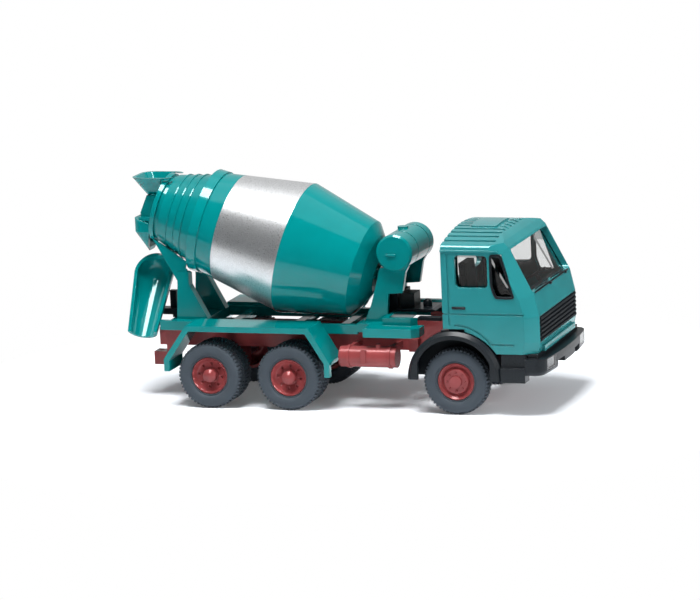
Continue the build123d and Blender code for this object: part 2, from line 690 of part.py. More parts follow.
# Front pedestal: two side plates, the bearing plate between them and the water tank's cradle
plate_inner_y = 4.6
plate_outer_y = 5.6
gearbox_radius = 2.45
with BuildPart() as front_pedestal:
    for side in (-1, 1):
        with BuildSketch(side_view(max(side * plate_inner_y, side * plate_outer_y))):
            with BuildLine():
                Polyline((-18.6, platform_top_z), (-14.5, platform_top_z), (-14.1, 19.5), (-11.5, 19.7),
                         (-10.8, 23.4), (-10.0, 24.8), (-15.5, 24.0), (-15.9, 22.5), (-17.3, 17.6),
                         close=True)
            make_face()
        extrude(amount=plate_outer_y - plate_inner_y)
    with BuildSketch(side_view(plate_inner_y)):
        with BuildLine():
            Polyline((-18.0, platform_top_z), (-16.5, platform_top_z), (-14.2, 23.4), (-15.7, 23.4),
                     close=True)
        make_face()
    extrude(amount=2 * plate_inner_y)
    with BuildSketch(side_view(tank_half_length)):
        with Locations((tank_x, tank_z)):
            Circle(tank_radius)
    extrude(amount=2 * tank_half_length, mode=Mode.SUBTRACT)
    with BuildSketch(drum_face(-nose_distance + 0.5)):
        Circle(gearbox_radius)
    extrude(amount=-8, mode=Mode.SUBTRACT)
front_pedestal.part.label = "front_pedestal"
export_step(front_pedestal.part, "parts/front_pedestal.step")

# Drum gearbox: a stepped housing in the bearing plate, bored for the drum's shaft
with BuildPart() as drum_gearbox:
    with BuildSketch(drum_face(-nose_distance - 0.4)):
        Circle(gearbox_radius)
    extrude(amount=-2.2)
    with BuildSketch(drum_face(-nose_distance - 2.6)):
        Circle(1.7)
    extrude(amount=-1.0)
    with BuildSketch(drum_face(-nose_distance)):
        Circle(shaft_radius + pivot_clearance)
    extrude(amount=-(shaft_end - nose_distance + 0.1), mode=Mode.SUBTRACT)
drum_gearbox.part.label = "drum_gearbox"
export_step(drum_gearbox.part, "parts/drum_gearbox.step")

# Drive unit: the black pump and motor group between the pedestal and the cab
slab_thickness = 0.5
pump_radius = 0.8
pump_top_z = 17.75
with BuildPart() as drive_unit:
    with BuildSketch(side_view(3.0)):
        with BuildLine():
            Polyline((-13.6, plinth_top_z), (-7.2, plinth_top_z), (-6.3, plinth_top_z + 0.3),
                     (-7.0, plinth_top_z + slab_thickness), (-13.6, plinth_top_z + slab_thickness),
                     close=True)
        make_face()
    extrude(amount=6.0)
    block((-15.2, -13.5), (-2.2, 2.2), (plinth_top_z, 19.3))
    block((-15.2, plinth_rear_x), (-2.2, 2.2), (platform_top_z, plinth_top_z))
    block((-13.2, -10.6), (-1.8, 1.8), (plinth_top_z, 18.9))
    block((-13.2, -12.4), (-1.8, 1.8), (18.9, 19.5))
    with BuildSketch(top_view(plinth_top_z)):
        with Locations((-8.7, 0)):
            Circle(pump_radius)
    extrude(amount=pump_top_z - pump_radius - plinth_top_z)
    with Locations((front_axle_x - 8.7, 0, pump_top_z - pump_radius)):
        Sphere(pump_radius)
drive_unit.part.label = "drive_unit"
export_step(drive_unit.part, "parts/drive_unit.step")

# Water tank: a lying cylinder with bevelled ends, two grooves, a filler cap and a handle on its right end
tank_profile = [(-tank_half_length, 0), (-tank_half_length, tank_radius - tank_bevel),
                (-tank_half_length + tank_bevel, tank_radius)]
for groove_y in (-2.7, 4.0):
    tank_profile += [(groove_y - tank_groove_width / 2, tank_radius),
                     (groove_y - tank_groove_width / 2, tank_radius - tank_groove_depth),
                     (groove_y + tank_groove_width / 2, tank_radius - tank_groove_depth),
                     (groove_y + tank_groove_width / 2, tank_radius)]
tank_profile += [(tank_half_length - tank_bevel, tank_radius), (tank_half_length, tank_radius - tank_bevel),
                 (tank_half_length, 0)]
with BuildPart() as water_tank:
    with BuildSketch(cross_view(tank_x)):
        with BuildLine():
            Polyline(*[(y, tank_z + radius) for y, radius in tank_profile], close=True)
        make_face()
    revolve(axis=Axis((front_axle_x + tank_x, 0, tank_z), (0, 1, 0)))
    with BuildSketch(top_view(tank_z)):
        with Locations((tank_x - 0.4, filler_y)):
            Circle(filler_radius)
    extrude(amount=tank_radius + 0.3)
    block((tank_x - 1.4, tank_x + 0.4), (-tank_half_length - 0.25, -tank_half_length + 0.5),
          (tank_z - 0.4, tank_z - 0.1))
water_tank.part.label = "water_tank"
export_step(water_tank.part, "parts/water_tank.step")

# Catch funnel: a U-shaped bowl behind the drum's mouth, narrowing to the chute, with a bar across its top
funnel_rear_x = -62.2
funnel_rim_z = 32.0          # at the rear, the rim falls with the drum's axis
funnel_bend_z = 29.5
funnel_low_z = 25.3
funnel_length = 5.5
funnel_half_width = 3.7
funnel_low_x = -58.5
funnel_low_length = 2.9
funnel_low_half_width = 1.9
funnel_wall = 0.6
bar_rear_x = -61.0
neck_half_width = 2.5
funnel_x = funnel_rear_x + funnel_length / 2


def funnel_solid(inset, extra):
    """The funnel's outline pulled in by an inset and made longer at its low end."""
    with BuildPart() as shape:
        with BuildSketch(top_view(funnel_rim_z + 2)):
            with Locations((funnel_x, 0)):
                RectangleRounded(funnel_length - 2 * inset, 2 * (funnel_half_width - inset), 1.6 - inset)
        with BuildSketch(top_view(funnel_bend_z)):
            with Locations((funnel_x, 0)):
                RectangleRounded(funnel_length - 2 * inset, 2 * (funnel_half_width - inset), 1.6 - inset)
        loft(ruled=True)
        with BuildSketch(top_view(funnel_bend_z)):
            with Locations((funnel_x, 0)):
                RectangleRounded(funnel_length - 2 * inset, 2 * (funnel_half_width - inset), 1.6 - inset)
        with BuildSketch(top_view(funnel_low_z - extra)):
            with Locations((funnel_low_x, 0)):
                RectangleRounded(funnel_low_length - 2 * inset, 2 * (funnel_low_half_width - inset),
                                 1.2 - inset)
        loft(ruled=True)
    return shape.part


funnel_outside = funnel_solid(0, 0)
funnel_inside = funnel_solid(funnel_wall, 0.1)
rim_plane = Plane(origin=(front_axle_x + funnel_rear_x, 0, funnel_rim_z), x_dir=(0, 1, 0),
                  z_dir=(sin(tilt), 0, cos(tilt)))

with BuildPart() as drum_room:
    with BuildSketch(drum_view):
        with BuildLine():
            Polyline((8, 0), (8, 11.0), (ring_start - drum_clearance, ring_radius + drum_clearance),
                     (ring_end + drum_clearance, ring_radius + drum_clearance),
                     (ring_end + drum_clearance, cone_start_radius + drum_clearance),
                     (collar_distance, collar_radius + drum_clearance),
                     (mouth_distance + drum_clearance, collar_radius + drum_clearance),
                     (mouth_distance + drum_clearance, 0), close=True)
        make_face()
    revolve(axis=Axis(drum_centre, drum_axis))

with BuildPart() as catch_funnel:
    add(funnel_outside)
    add(funnel_inside, mode=Mode.SUBTRACT)
    with BuildSketch(Plane(origin=rim_plane.origin, x_dir=rim_plane.x_dir, z_dir=rim_plane.z_dir)):
        Rectangle(40, 40)
    extrude(amount=6, mode=Mode.SUBTRACT)
    block((bar_rear_x, bar_rear_x + 2.2), (-funnel_half_width + 0.2, funnel_half_width - 0.2),
          (funnel_rim_z - 0.5, funnel_rim_z + 0.2))
    with BuildSketch(drum_face(mouth_distance - 12)):
        Circle(mouth_radius + drum_clearance + 3.0)
    extrude(amount=12 + drum_clearance, mode=Mode.SUBTRACT)
    add(drum_room.part, mode=Mode.SUBTRACT)
catch_funnel.part.label = "catch_funnel"
export_step(catch_funnel.part, "parts/catch_funnel.step")

# Rear pedestal: two tapered feet, the blocks with the ring's seat, and the plates that carry the catch funnel
foot_y = 4.6
foot_width = 1.8
foot_top_z = 20.4
block_rear_x = -53.5
block_front_x = -51.3
bracket_inner_y = 4.7
bracket_thickness = 0.6
with BuildPart() as rear_pedestal:
    for side in (-1, 1):
        with BuildSketch(top_view(beam_top_z)):
            with Locations((-50.95, side * foot_y)):
                Rectangle(5.9, foot_width)
        with BuildSketch(top_view(foot_top_z)):
            with Locations(((block_rear_x + block_front_x) / 2, side * foot_y)):
                Rectangle(block_front_x - block_rear_x, foot_width)
        loft()
        block((block_rear_x, block_front_x), (side * foot_y - foot_width / 2, side * foot_y + foot_width / 2),
              (foot_top_z, 22.8))
        bracket_side_y = max(side * bracket_inner_y, side * (bracket_inner_y + bracket_thickness))
        with BuildSketch(side_view(bracket_side_y)):
            with BuildLine():
                Polyline((-53.5, 21.0), (-51.7, 22.4), (-51.7, 24.7), (-57.8, 28.6), close=True)
            make_face()
        extrude(amount=bracket_thickness)
    block((-57.3, -54.8), (-bracket_inner_y, bracket_inner_y), (funnel_low_z - 0.3, funnel_low_z + 0.3))
    add(drum_room.part, mode=Mode.SUBTRACT)
    add(funnel_outside, mode=Mode.SUBTRACT)
rear_pedestal.part.label = "rear_pedestal"
export_step(rear_pedestal.part, "parts/rear_pedestal.step")

# Hopper: a funnel over the drum's mouth, on an open neck that stands on the catch funnel's bar
hopper_rear_x = -62.3
hopper_length = 8.1
hopper_half_width = 4.0
hopper_rim_z = 39.3
outlet_z = 35.7
outlet_x = -58.4
outlet_length = 2.7
outlet_half_width = 1.7
hopper_wall = 0.5


def hopper_solid(inset, extra):
    """The hopper's outline pulled in by an inset and made longer at both ends."""
    with BuildPart() as shape:
        with BuildSketch(top_view(hopper_rim_z + extra)):
            with Locations((hopper_rear_x + hopper_length / 2, 0)):
                RectangleRounded(hopper_length - 2 * inset, 2 * (hopper_half_width - inset), 2.2 - inset)
        with BuildSketch(top_view(outlet_z - extra)):
            with Locations((outlet_x, 0)):
                RectangleRounded(outlet_length - 2 * inset, 2 * (outlet_half_width - inset), 0.7 - inset)
        loft(ruled=True)
    return shape.part


with BuildPart() as hopper:
    add(hopper_solid(0, 0))
    with BuildSketch(side_view(neck_half_width)):
        with BuildLine():
            Polyline((outlet_x - outlet_length / 2 + 0.1, outlet_z + 0.3), (bar_rear_x, funnel_rim_z + 0.9),
                     (bar_rear_x, funnel_rim_z + 0.2), (outlet_x + 0.4, funnel_rim_z + 0.2),
                     (outlet_x + 1.4, outlet_z + 0.3), close=True)
        make_face()
    extrude(amount=2 * neck_half_width)
    with BuildSketch(side_view(neck_half_width - hopper_wall)):
        with BuildLine():
            Polyline((outlet_x - outlet_length / 2 + 0.7, outlet_z + 0.4),
                     (bar_rear_x + 0.7, funnel_rim_z + 0.9), (bar_rear_x + 0.7, funnel_rim_z + 0.1),
                     (outlet_x + 2.4, funnel_rim_z + 0.1), (outlet_x + 2.4, outlet_z + 0.4), close=True)
        make_face()
    extrude(amount=2 * (neck_half_width - hopper_wall), mode=Mode.SUBTRACT)
    add(hopper_solid(hopper_wall, 0.1), mode=Mode.SUBTRACT)
    add(drum_room.part, mode=Mode.SUBTRACT)
hopper.part.label = "hopper"
export_step(hopper.part, "parts/hopper.step")

# Chute bracket: a post on the subframe's tail and an arm with a round end that carries the upright pin
arm_top_z = 15.2
arm_thickness = 1.1
arm_half_width = 1.1
post_front_x = -54.4
pin_length = 1.6
with BuildPart() as chute_bracket:
    block((beam_rear_x, post_front_x), (-arm_half_width, arm_half_width), (member_top_z, arm_top_z))
    with BuildSketch(top_view(arm_top_z - arm_thickness)):
        with Locations(((swivel_x + post_front_x) / 2, 0)):
            Rectangle(post_front_x - swivel_x, 2 * arm_half_width)
        with Locations((swivel_x, 0)):
            Circle(arm_half_width)
    extrude(amount=arm_thickness)
    block((-57.0, -55.8), (-0.5, 0.5), (arm_top_z - 0.1, 18.4))
    with BuildSketch(top_view(arm_top_z)):
        with Locations((swivel_x, 0)):
            Circle(pivot_radius)
    extrude(amount=pin_length)
chute_bracket.part.label = "chute_bracket"
export_step(chute_bracket.part, "parts/chute_bracket.step")

# Chute: a tapering half-round trough with a rounded head, and the boss that turns on the pin
slope = radians(chute_slope)
chute_axis = Vector(0, -cos(slope), -sin(slope))
chute_up = Vector(0, -sin(slope), cos(slope))
chute_head = Vector(front_axle_x + swivel_x, chute_head_y, chute_head_z)
chute_top = Plane(origin=chute_head, x_dir=(1, 0, 0), z_dir=chute_axis)
chute_low = Plane(origin=chute_head + chute_axis * chute_length, x_dir=(1, 0, 0), z_dir=chute_axis)
chute_end = Plane(origin=chute_head + chute_axis * (chute_length + 0.1), x_dir=(1, 0, 0), z_dir=chute_axis)
with BuildPart() as chute:
    with BuildSketch(chute_top):
        Circle(chute_head_radius)
    with BuildSketch(chute_low):
        Circle(chute_end_radius)
    loft()
    with Locations(Location(chute_head)):
        Sphere(chute_head_radius)
    split(bisect_by=Plane(origin=chute_head, x_dir=(1, 0, 0), z_dir=chute_up), keep=Keep.BOTTOM)
    with BuildSketch(top_view(arm_top_z + 0.1)):
        with Locations((swivel_x, 0)):
            Circle(arm_half_width)
    extrude(amount=2.6)
    with Locations(Location(chute_head)):
        Sphere(chute_head_radius - chute_wall, mode=Mode.SUBTRACT)
    with BuildSketch(chute_top):
        Circle(chute_head_radius - chute_wall)
    with BuildSketch(chute_end):
        Circle(chute_end_radius - chute_wall)
    loft(mode=Mode.SUBTRACT)
    with BuildSketch(top_view(arm_top_z)):
        with Locations((swivel_x, 0)):
            Circle(pivot_radius + pivot_clearance)
    extrude(amount=pin_length + 0.1, mode=Mode.SUBTRACT)
chute.part.label = "chute"
export_step(chute.part, "parts/chute.step")

# Drum in three pieces along one axis: front cone with its head and shaft, silver band,
# rear cone with its ring
drum_line = Axis(drum_centre, drum_axis)
with BuildPart() as drum_front_cone:
    with BuildSketch(drum_view):
        with BuildLine():
            Polyline((0, drum_radius), (-head_distance, head_radius), (-head_distance - 1.6, 6.6),
                     (-nose_distance, nose_radius), (-nose_distance, shaft_radius),
                     (-shaft_end, shaft_radius), (-shaft_end, 0), (-nose_distance + 1.0, 0),
                     (-nose_distance + 1.0, nose_radius - 0.4),
                     (-head_distance - 0.8, 6.0), (-head_distance + 0.6, head_radius - drum_wall),
                     (0, drum_radius - drum_wall), close=True)
        make_face()
    revolve(axis=drum_line)
drum_front_cone.part.label = "drum_front_cone"
export_step(drum_front_cone.part, "parts/drum_front_cone.step")

with BuildPart() as drum_band:
    with BuildSketch(drum_view):
        with BuildLine():
            Polyline((0, drum_radius), (band_length, band_rear_radius),
                     (band_length, band_rear_radius - drum_wall), (0, drum_radius - drum_wall), close=True)
        make_face()
    revolve(axis=drum_line)
drum_band.part.label = "drum_band"
export_step(drum_band.part, "parts/drum_band.step")

# Rear cone: the roller ring, three fine ribs, and the collar with the mouth's rim
rib_distances = (19.5, 21.0, 22.5)
rib_width = 0.25
rib_height = 0.1
cone_fall = (cone_start_radius - collar_radius) / (collar_distance - ring_end)
cone_outside = [(band_length, band_rear_radius), (ring_start, ring_radius - 0.25), (ring_start, ring_radius),
                (ring_end, ring_radius), (ring_end, cone_start_radius)]
for distance in rib_distances:
    rib_radius = cone_start_radius - cone_fall * (distance - ring_end)
    rib_end = distance + rib_width
    cone_outside += [(distance, rib_radius), (distance, rib_radius + rib_height),
                     (rib_end, rib_radius + rib_height), (rib_end, rib_radius - 0.08)]
cone_outside += [(collar_distance, collar_radius), (collar_distance, mouth_radius - 0.3),
                 (mouth_distance - 0.8, mouth_radius - 0.4), (mouth_distance - 0.8, mouth_radius),
                 (mouth_distance, mouth_radius)]
cone_inside = [(mouth_distance, mouth_radius - mouth_wall),
               (collar_distance - 0.2, mouth_radius - mouth_wall),
               (ring_end, cone_start_radius - drum_wall), (band_length, band_rear_radius - drum_wall)]
with BuildPart() as drum_rear_cone:
    with BuildSketch(drum_view):
        with BuildLine():
            Polyline(*cone_outside, *cone_inside, close=True)
        make_face()
    revolve(axis=drum_line)
drum_rear_cone.part.label = "drum_rear_cone"
export_step(drum_rear_cone.part, "parts/drum_rear_cone.step")


# Wheels: tyre and rim profiles run from the outer face inwards, w, at a radius, r
def wheel_points(points, face_y, side):
    """Points (w, r) of a wheel on one side as points of the cross view."""
    return [(side * (face_y - w), axle_z + r) for w, r in points]


tyre_profile = [(0.4, bead_radius), (0.0, 4.7), (0.2, 5.45), (0.7, tyre_radius),
                (tyre_width - 0.7, tyre_radius), (tyre_width, 4.9), (tyre_width - 0.4, bead_radius)]
front_rim_profile = [(0.0, axle_pin_radius), (0.0, 1.04), (0.4, 1.1), (0.4, 2.1), (0.95, 2.4),
                     (0.3, bead_radius - 0.15), (0.4, bead_radius), (tyre_width - 0.4, bead_radius),
                     (tyre_width - 0.4, 2.75), (1.6, 2.6), (2.2, 1.5), (2.2, axle_pin_radius)]
twin_width = twin_pitch + tyre_width
rear_rim_profile = [(0.1, axle_pin_radius), (0.1, 1.16), (1.4, 1.25), (1.4, 1.6), (1.1, 1.65), (1.1, 2.5),
                    (0.3, bead_radius - 0.15), (0.4, bead_radius), (twin_width - 0.4, bead_radius),
                    (twin_width - 0.4, 2.75), (2.3, 2.6), (3.4, 1.5), (3.4, axle_pin_radius)]

for axle_name, station in axle_stations.items():
    twin = axle_name != "front"
    face_y = rear_track_y if twin else front_track_y
    turning_axis = Axis((front_axle_x + station, 0, axle_z), (0, 1, 0))
    pin_end_y = face_y - 1.3
    with BuildPart() as axle_pin:
        with BuildSketch(side_view(pin_end_y)):
            with Locations((station, axle_z)):
                Circle(axle_pin_radius)
        extrude(amount=2 * pin_end_y)
    name = "axle_" + axle_name
    axle_pin.part.label = name
    export_step(axle_pin.part, f"parts/{name}.step")
    for side_name, side in (("right", -1), ("left", 1)):
        with BuildPart() as tyre:
            for tyre_number in range(2 if twin else 1):
                tyre_face_y = face_y - tyre_number * twin_pitch
                with BuildSketch(cross_view(station)):
                    with BuildLine():
                        Polyline(*wheel_points(tyre_profile, tyre_face_y, side), close=True)
                    make_face()
                revolve(axis=turning_axis)
        name = f"tyre_{axle_name}_{side_name}"
        tyre.part.label = name
        export_step(tyre.part, f"parts/{name}.step")
        rim_profile = rear_rim_profile if twin else front_rim_profile
        with BuildPart() as rim:
            with BuildSketch(cross_view(station)):
                with BuildLine():
                    Polyline(*wheel_points(rim_profile, face_y, side), close=True)
                make_face()
            revolve(axis=turning_axis)
            with BuildSketch(side_view(side * face_y)):
                with Locations((station, axle_z)):
                    Circle(axle_pin_radius + 0.2)
            extrude(amount=side * 1.2)
        name = f"rim_{axle_name}_{side_name}"
        rim.part.label = name
        export_step(rim.part, f"parts/{name}.step")
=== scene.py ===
"""Finishes, fine trim and studio for the plastic scale model of a concrete mixer truck."""
import json
from math import atan2, cos, pi, radians, sin

import bmesh
import bpy
from bpy.props import FloatProperty, FloatVectorProperty, IntProperty, PointerProperty
from bpy.types import Operator, Panel, PropertyGroup
from mathutils import Matrix, Vector

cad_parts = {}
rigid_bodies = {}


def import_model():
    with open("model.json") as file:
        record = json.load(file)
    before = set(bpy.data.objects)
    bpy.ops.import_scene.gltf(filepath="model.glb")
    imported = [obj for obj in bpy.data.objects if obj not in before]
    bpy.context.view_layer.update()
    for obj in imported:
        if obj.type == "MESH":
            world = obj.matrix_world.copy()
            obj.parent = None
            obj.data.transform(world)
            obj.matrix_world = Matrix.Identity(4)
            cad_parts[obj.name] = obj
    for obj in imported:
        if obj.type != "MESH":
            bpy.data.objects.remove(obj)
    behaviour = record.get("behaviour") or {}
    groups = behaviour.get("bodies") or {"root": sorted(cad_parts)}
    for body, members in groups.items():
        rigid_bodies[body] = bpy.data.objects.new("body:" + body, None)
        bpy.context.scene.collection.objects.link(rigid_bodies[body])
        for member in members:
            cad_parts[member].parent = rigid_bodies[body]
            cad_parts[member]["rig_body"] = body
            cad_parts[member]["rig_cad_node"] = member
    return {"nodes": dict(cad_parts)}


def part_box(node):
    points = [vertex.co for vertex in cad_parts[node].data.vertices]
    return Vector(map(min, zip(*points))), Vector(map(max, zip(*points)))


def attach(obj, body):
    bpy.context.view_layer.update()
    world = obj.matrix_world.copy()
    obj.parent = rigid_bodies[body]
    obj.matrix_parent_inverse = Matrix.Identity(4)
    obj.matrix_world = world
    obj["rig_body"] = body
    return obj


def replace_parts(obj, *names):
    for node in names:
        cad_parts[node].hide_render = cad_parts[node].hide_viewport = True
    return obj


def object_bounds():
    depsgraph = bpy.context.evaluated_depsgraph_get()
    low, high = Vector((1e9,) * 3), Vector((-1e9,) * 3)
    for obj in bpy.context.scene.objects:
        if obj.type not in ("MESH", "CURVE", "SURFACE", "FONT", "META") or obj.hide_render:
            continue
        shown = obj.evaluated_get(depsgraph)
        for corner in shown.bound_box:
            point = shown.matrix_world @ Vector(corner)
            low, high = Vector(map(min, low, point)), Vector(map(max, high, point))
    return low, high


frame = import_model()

bl_info = {
    "name": "Mixer Truck Model",
    "version": (1, 0, 0),
    "blender": (4, 5, 0),
    "location": "3D View > Sidebar > Mixer Truck",
    "description": "Finishes, trims and lights the scale model of a concrete mixer truck",
    "category": "Object",
}

# The model is drawn in millimetres, with stations measured from the front axle
MM = 0.001
CAD_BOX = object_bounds()
FRONT_AXLE = (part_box("axle_front")[0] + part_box("axle_front")[1]) / 2
AXLES = ("front", "middle", "rear")
SIDES = {"right": -1, "left": 1}
CAB_SIDE = 13.6              # half width of the cab's flat side, inside its drip ledge
SCREEN_FOOT = (14.1, 21.2)   # station and height of the windscreen's lower edge
SCREEN_TOP = (9.9, 29.3)


def at(station, y, z):
    """A point in metres from a station, a half width and a height in millimetres."""
    return Vector((FRONT_AXLE.x + station * MM, y * MM, z * MM))


class MixerFinish(PropertyGroup):
    """Colours of the mouldings."""
    teal: FloatVectorProperty(
        name="Mixer teal", description="Drum, tank and chute mouldings",
        subtype="COLOR", default=(0.0, 0.178, 0.180), min=0, max=1)
    cab_teal: FloatVectorProperty(
        name="Cab teal", description="Cab moulding",
        subtype="COLOR", default=(0.018, 0.190, 0.200), min=0, max=1)
    silver: FloatVectorProperty(
        name="Silver", description="Printed band round the drum",
        subtype="COLOR", default=(0.62, 0.63, 0.64), min=0, max=1)
    oxide_red: FloatVectorProperty(
        name="Oxide red", description="Chassis and rims",
        subtype="COLOR", default=(0.235, 0.044, 0.045), min=0, max=1)
    tyre_grey: FloatVectorProperty(
        name="Tyre grey", description="Soft plastic tyres",
        subtype="COLOR", default=(0.044, 0.056, 0.069), min=0, max=1)
    black: FloatVectorProperty(
        name="Black", description="Bumper, grille and interior",
        subtype="COLOR", default=(0.009, 0.012, 0.015), min=0, max=1)
    clear: FloatVectorProperty(
        name="Clear", description="Windows and lamps",
        subtype="COLOR", default=(0.985, 0.995, 0.995), min=0, max=1)


class MixerTrim(PropertyGroup):
    """Sizes of the fine trim."""
    lug_count: IntProperty(
        name="Tread lugs", description="Lugs round each shoulder of a tyre", default=52, min=12, max=90)
    lug_height: FloatProperty(
        name="Lug height", description="Depth of the tread",
        default=0.23 * MM, min=0, max=0.4 * MM, unit="LENGTH", precision=5)
    nut_radius: FloatProperty(
        name="Nut radius", description="Wheel nuts of the front rims",
        default=0.21 * MM, min=0, max=0.4 * MM, unit="LENGTH", precision=5)
    hole_radius: FloatProperty(
        name="Hole radius", description="Holes in the rear rims",
        default=0.25 * MM, min=0, max=0.35 * MM, unit="LENGTH", precision=5)
    rubber_width: FloatProperty(
        name="Window rubber", description="Width of the quarter window's frame",
        default=0.38 * MM, min=0, max=1 * MM, unit="LENGTH", precision=5)
    blade_length: FloatProperty(
        name="Wiper blade", description="Length of a wiper blade",
        default=8.2 * MM, min=2 * MM, max=10 * MM, unit="LENGTH", precision=4)


class MixerStudio(PropertyGroup):
    """Lights and camera."""
    key_power: FloatProperty(
        name="Key light", description="Power of the overhead soft box",
        default=3.9, min=0, max=20, unit="POWER")
    fill_power: FloatProperty(
        name="Fill light", description="Power of the front soft box",
        default=2.6, min=0, max=20, unit="POWER")
    room_light: FloatProperty(
        name="Room light", description="Strength of the even light all round",
        default=0.25, min=0, max=2)
    lens: FloatProperty(
        name="Lens", description="Focal length of the camera in millimetres",
        default=197.8, min=20, max=600)
    distance: FloatProperty(
        name="Distance", description="From the model to the camera",
        default=0.6805, min=0.1, max=5, unit="LENGTH")
    azimuth: FloatProperty(
        name="Azimuth", description="Turn of the view from the model's side",
        default=radians(18.77), subtype="ANGLE")
    elevation: FloatProperty(
        name="Elevation", description="Height of the view over the horizon",
        default=radians(11.07), subtype="ANGLE")
    roll: FloatProperty(
        name="Roll", description="Turn of the camera about its line of sight",
        default=radians(-2.6), subtype="ANGLE")


# Making by hand: selection, shaping and finishing of a piece

def begin():
    """Leaves edit mode and selects nothing, so that the next operator acts on the new piece alone."""
    if bpy.context.mode != "OBJECT":
        bpy.ops.object.mode_set(mode="OBJECT")
    bpy.ops.object.select_all(action="DESELECT")


def pick(obj):
    """Selects one object alone and makes it active."""
    begin()
    obj.select_set(True)
    bpy.context.view_layer.objects.active = obj
    return obj


def settle(obj):
    """Applies a piece's place, turn and size to its mesh."""
    pick(obj)
    bpy.ops.object.transform_apply(location=True, rotation=True, scale=True)
    return obj


def open_faces(obj, test):
    """Opens a piece in edit mode with the faces selected whose centre and normal pass the test."""
    pick(obj)
    bpy.ops.object.mode_set(mode="EDIT")
    bpy.ops.mesh.select_mode(type="FACE")
    bpy.ops.mesh.select_all(action="DESELECT")
    mesh = bmesh.from_edit_mesh(obj.data)
    found = 0
    for face in mesh.faces:
        if test(face.calc_center_median(), face.normal):
            face.select_set(True)
            found += 1
    bmesh.update_edit_mesh(obj.data)
    if not found:
        raise RuntimeError(f"{obj.name} has no face to work on")
    return obj


def close(obj):
    """Back to object mode."""
    bpy.ops.object.mode_set(mode="OBJECT")
    return obj


def smooth(obj, angle=35):
    """Shades a piece smooth, with edges over an angle left crisp."""
    pick(obj)
    bpy.ops.object.shade_smooth_by_angle(angle=radians(angle))
    return obj


def soften(obj, width, segments=2, angle=40):
    """Rounds the crisp edges of a piece as a moulding tool leaves them."""
    pick(obj)
    bpy.ops.object.modifier_add(type="BEVEL")
    bevel = obj.modifiers[-1]
    bevel.width = width
    bevel.segments = segments
    bevel.limit_method = "ANGLE"
    bevel.angle_limit = radians(angle)
    bpy.ops.object.modifier_apply(modifier=bevel.name)
    return smooth(obj)


def bar(size, place, taper=1.0):
    """A block at its place in metres, its top face drawn in by a taper."""
    begin()
    bpy.ops.mesh.primitive_cube_add(size=1, location=place)
    bpy.ops.transform.resize(value=size)
    obj = settle(bpy.context.object)
    open_faces(obj, lambda centre, normal: normal.z > 0.9)
    bpy.ops.transform.resize(value=(taper, taper, 1))
    return close(obj)


def copied(obj, shift=(0, 0, 0)):
    """A copy with its own mesh, moved by a shift."""
    pick(obj)
    bpy.ops.object.duplicate(linked=False)
    bpy.ops.transform.translate(value=shift)
    return settle(bpy.context.object)


def joined(parts):
    """Several parts as one piece."""
    begin()
    for part in parts:
        part.select_set(True)
    bpy.context.view_layer.objects.active = parts[0]
    if len(parts) > 1:
        bpy.ops.object.join()
    return bpy.context.object


def turned(obj, angle, axis, centre):
    """Turns a piece about an axis through a point, counter-clockwise as seen against the axis."""
    pick(obj)
    to_centre, back = Matrix.Translation(-Vector(centre)), Matrix.Translation(centre)
    obj.matrix_world = back @ Matrix.Rotation(angle, 4, axis) @ to_centre @ obj.matrix_world
    return settle(obj)


def ring_of_eight(obj, centre):
    """A piece and seven copies of it, spread round an axle through a centre."""
    return [obj] + [turned(copied(obj), number * pi / 4, "Y", centre) for number in range(1, 8)]


def fit(obj, name, body, material):
    """Names a finished piece, gives it its finish and lets it ride on a body."""
    obj.name = name
    obj.data.name = name
    obj.data.materials.clear()
    obj.data.materials.append(material)
    settle(obj)
    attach(obj, body)
    return obj


def coat(material, *nodes):
    """Gives CAD nodes their finish."""
    for node in nodes:
        obj = frame["nodes"][node]
        obj.data.materials.clear()
        obj.data.materials.append(material)
        for face in obj.data.polygons:
            face.material_index = 0


# Finishes: each moulding's colour, gloss and skin

NOISE_RANGE = (0.3, 0.7)     # nearly all values of a pattern lie between these


def set_values(node, values):
    """Sets a node's sockets by name or number."""
    for socket, value in values.items():
        node.inputs[socket].default_value = value


def add_node(tree, kind, place=(0, 0), values=None, **settings):
    """A node at its place in the tree, with its settings and its sockets' values."""
    node = tree.nodes.new(kind)
    node.location = place
    for name, setting in settings.items():
        setattr(node, name, setting)
    set_values(node, values or {})
    return node


def new_finish(name):
    """A material with only a shader and its output, or the one already made under its name."""
    name = f"{name}_finish"
    material = bpy.data.materials.get(name)
    if material:
        return material, None
    material = bpy.data.materials.new(name)
    material.use_nodes = True
    tree = material.node_tree
    tree.nodes.clear()
    shader = add_node(tree, "ShaderNodeBsdfPrincipled", (300, 0))
    output = add_node(tree, "ShaderNodeOutputMaterial", (600, 0))
    tree.links.new(shader.outputs["BSDF"], output.inputs["Surface"])
    return material, shader


def grain(tree, size, detail, place):
    """A noise pattern of a grain size in metres, on the moulding's own coordinates."""
    coordinates = add_node(tree, "ShaderNodeTexCoord", (place[0] - 200, place[1]))
    noise = add_node(tree, "ShaderNodeTexNoise", place, {"Scale": 1 / size, "Detail": detail})
    tree.links.new(coordinates.outputs["Object"], noise.inputs["Vector"])
    return noise.outputs["Fac"]


def flake(tree, size, place):
    """A pattern of small cells of a size in metres, on the moulding's own coordinates."""
    coordinates = add_node(tree, "ShaderNodeTexCoord", (place[0] - 200, place[1]))
    cells = add_node(tree, "ShaderNodeTexVoronoi", place, {"Scale": 1 / size})
    tree.links.new(coordinates.outputs["Object"], cells.inputs["Vector"])
    return cells.outputs["Distance"]


def shade(colour, factor):
    """A colour made lighter or darker."""
    return tuple(min(1.0, part * factor) for part in colour)


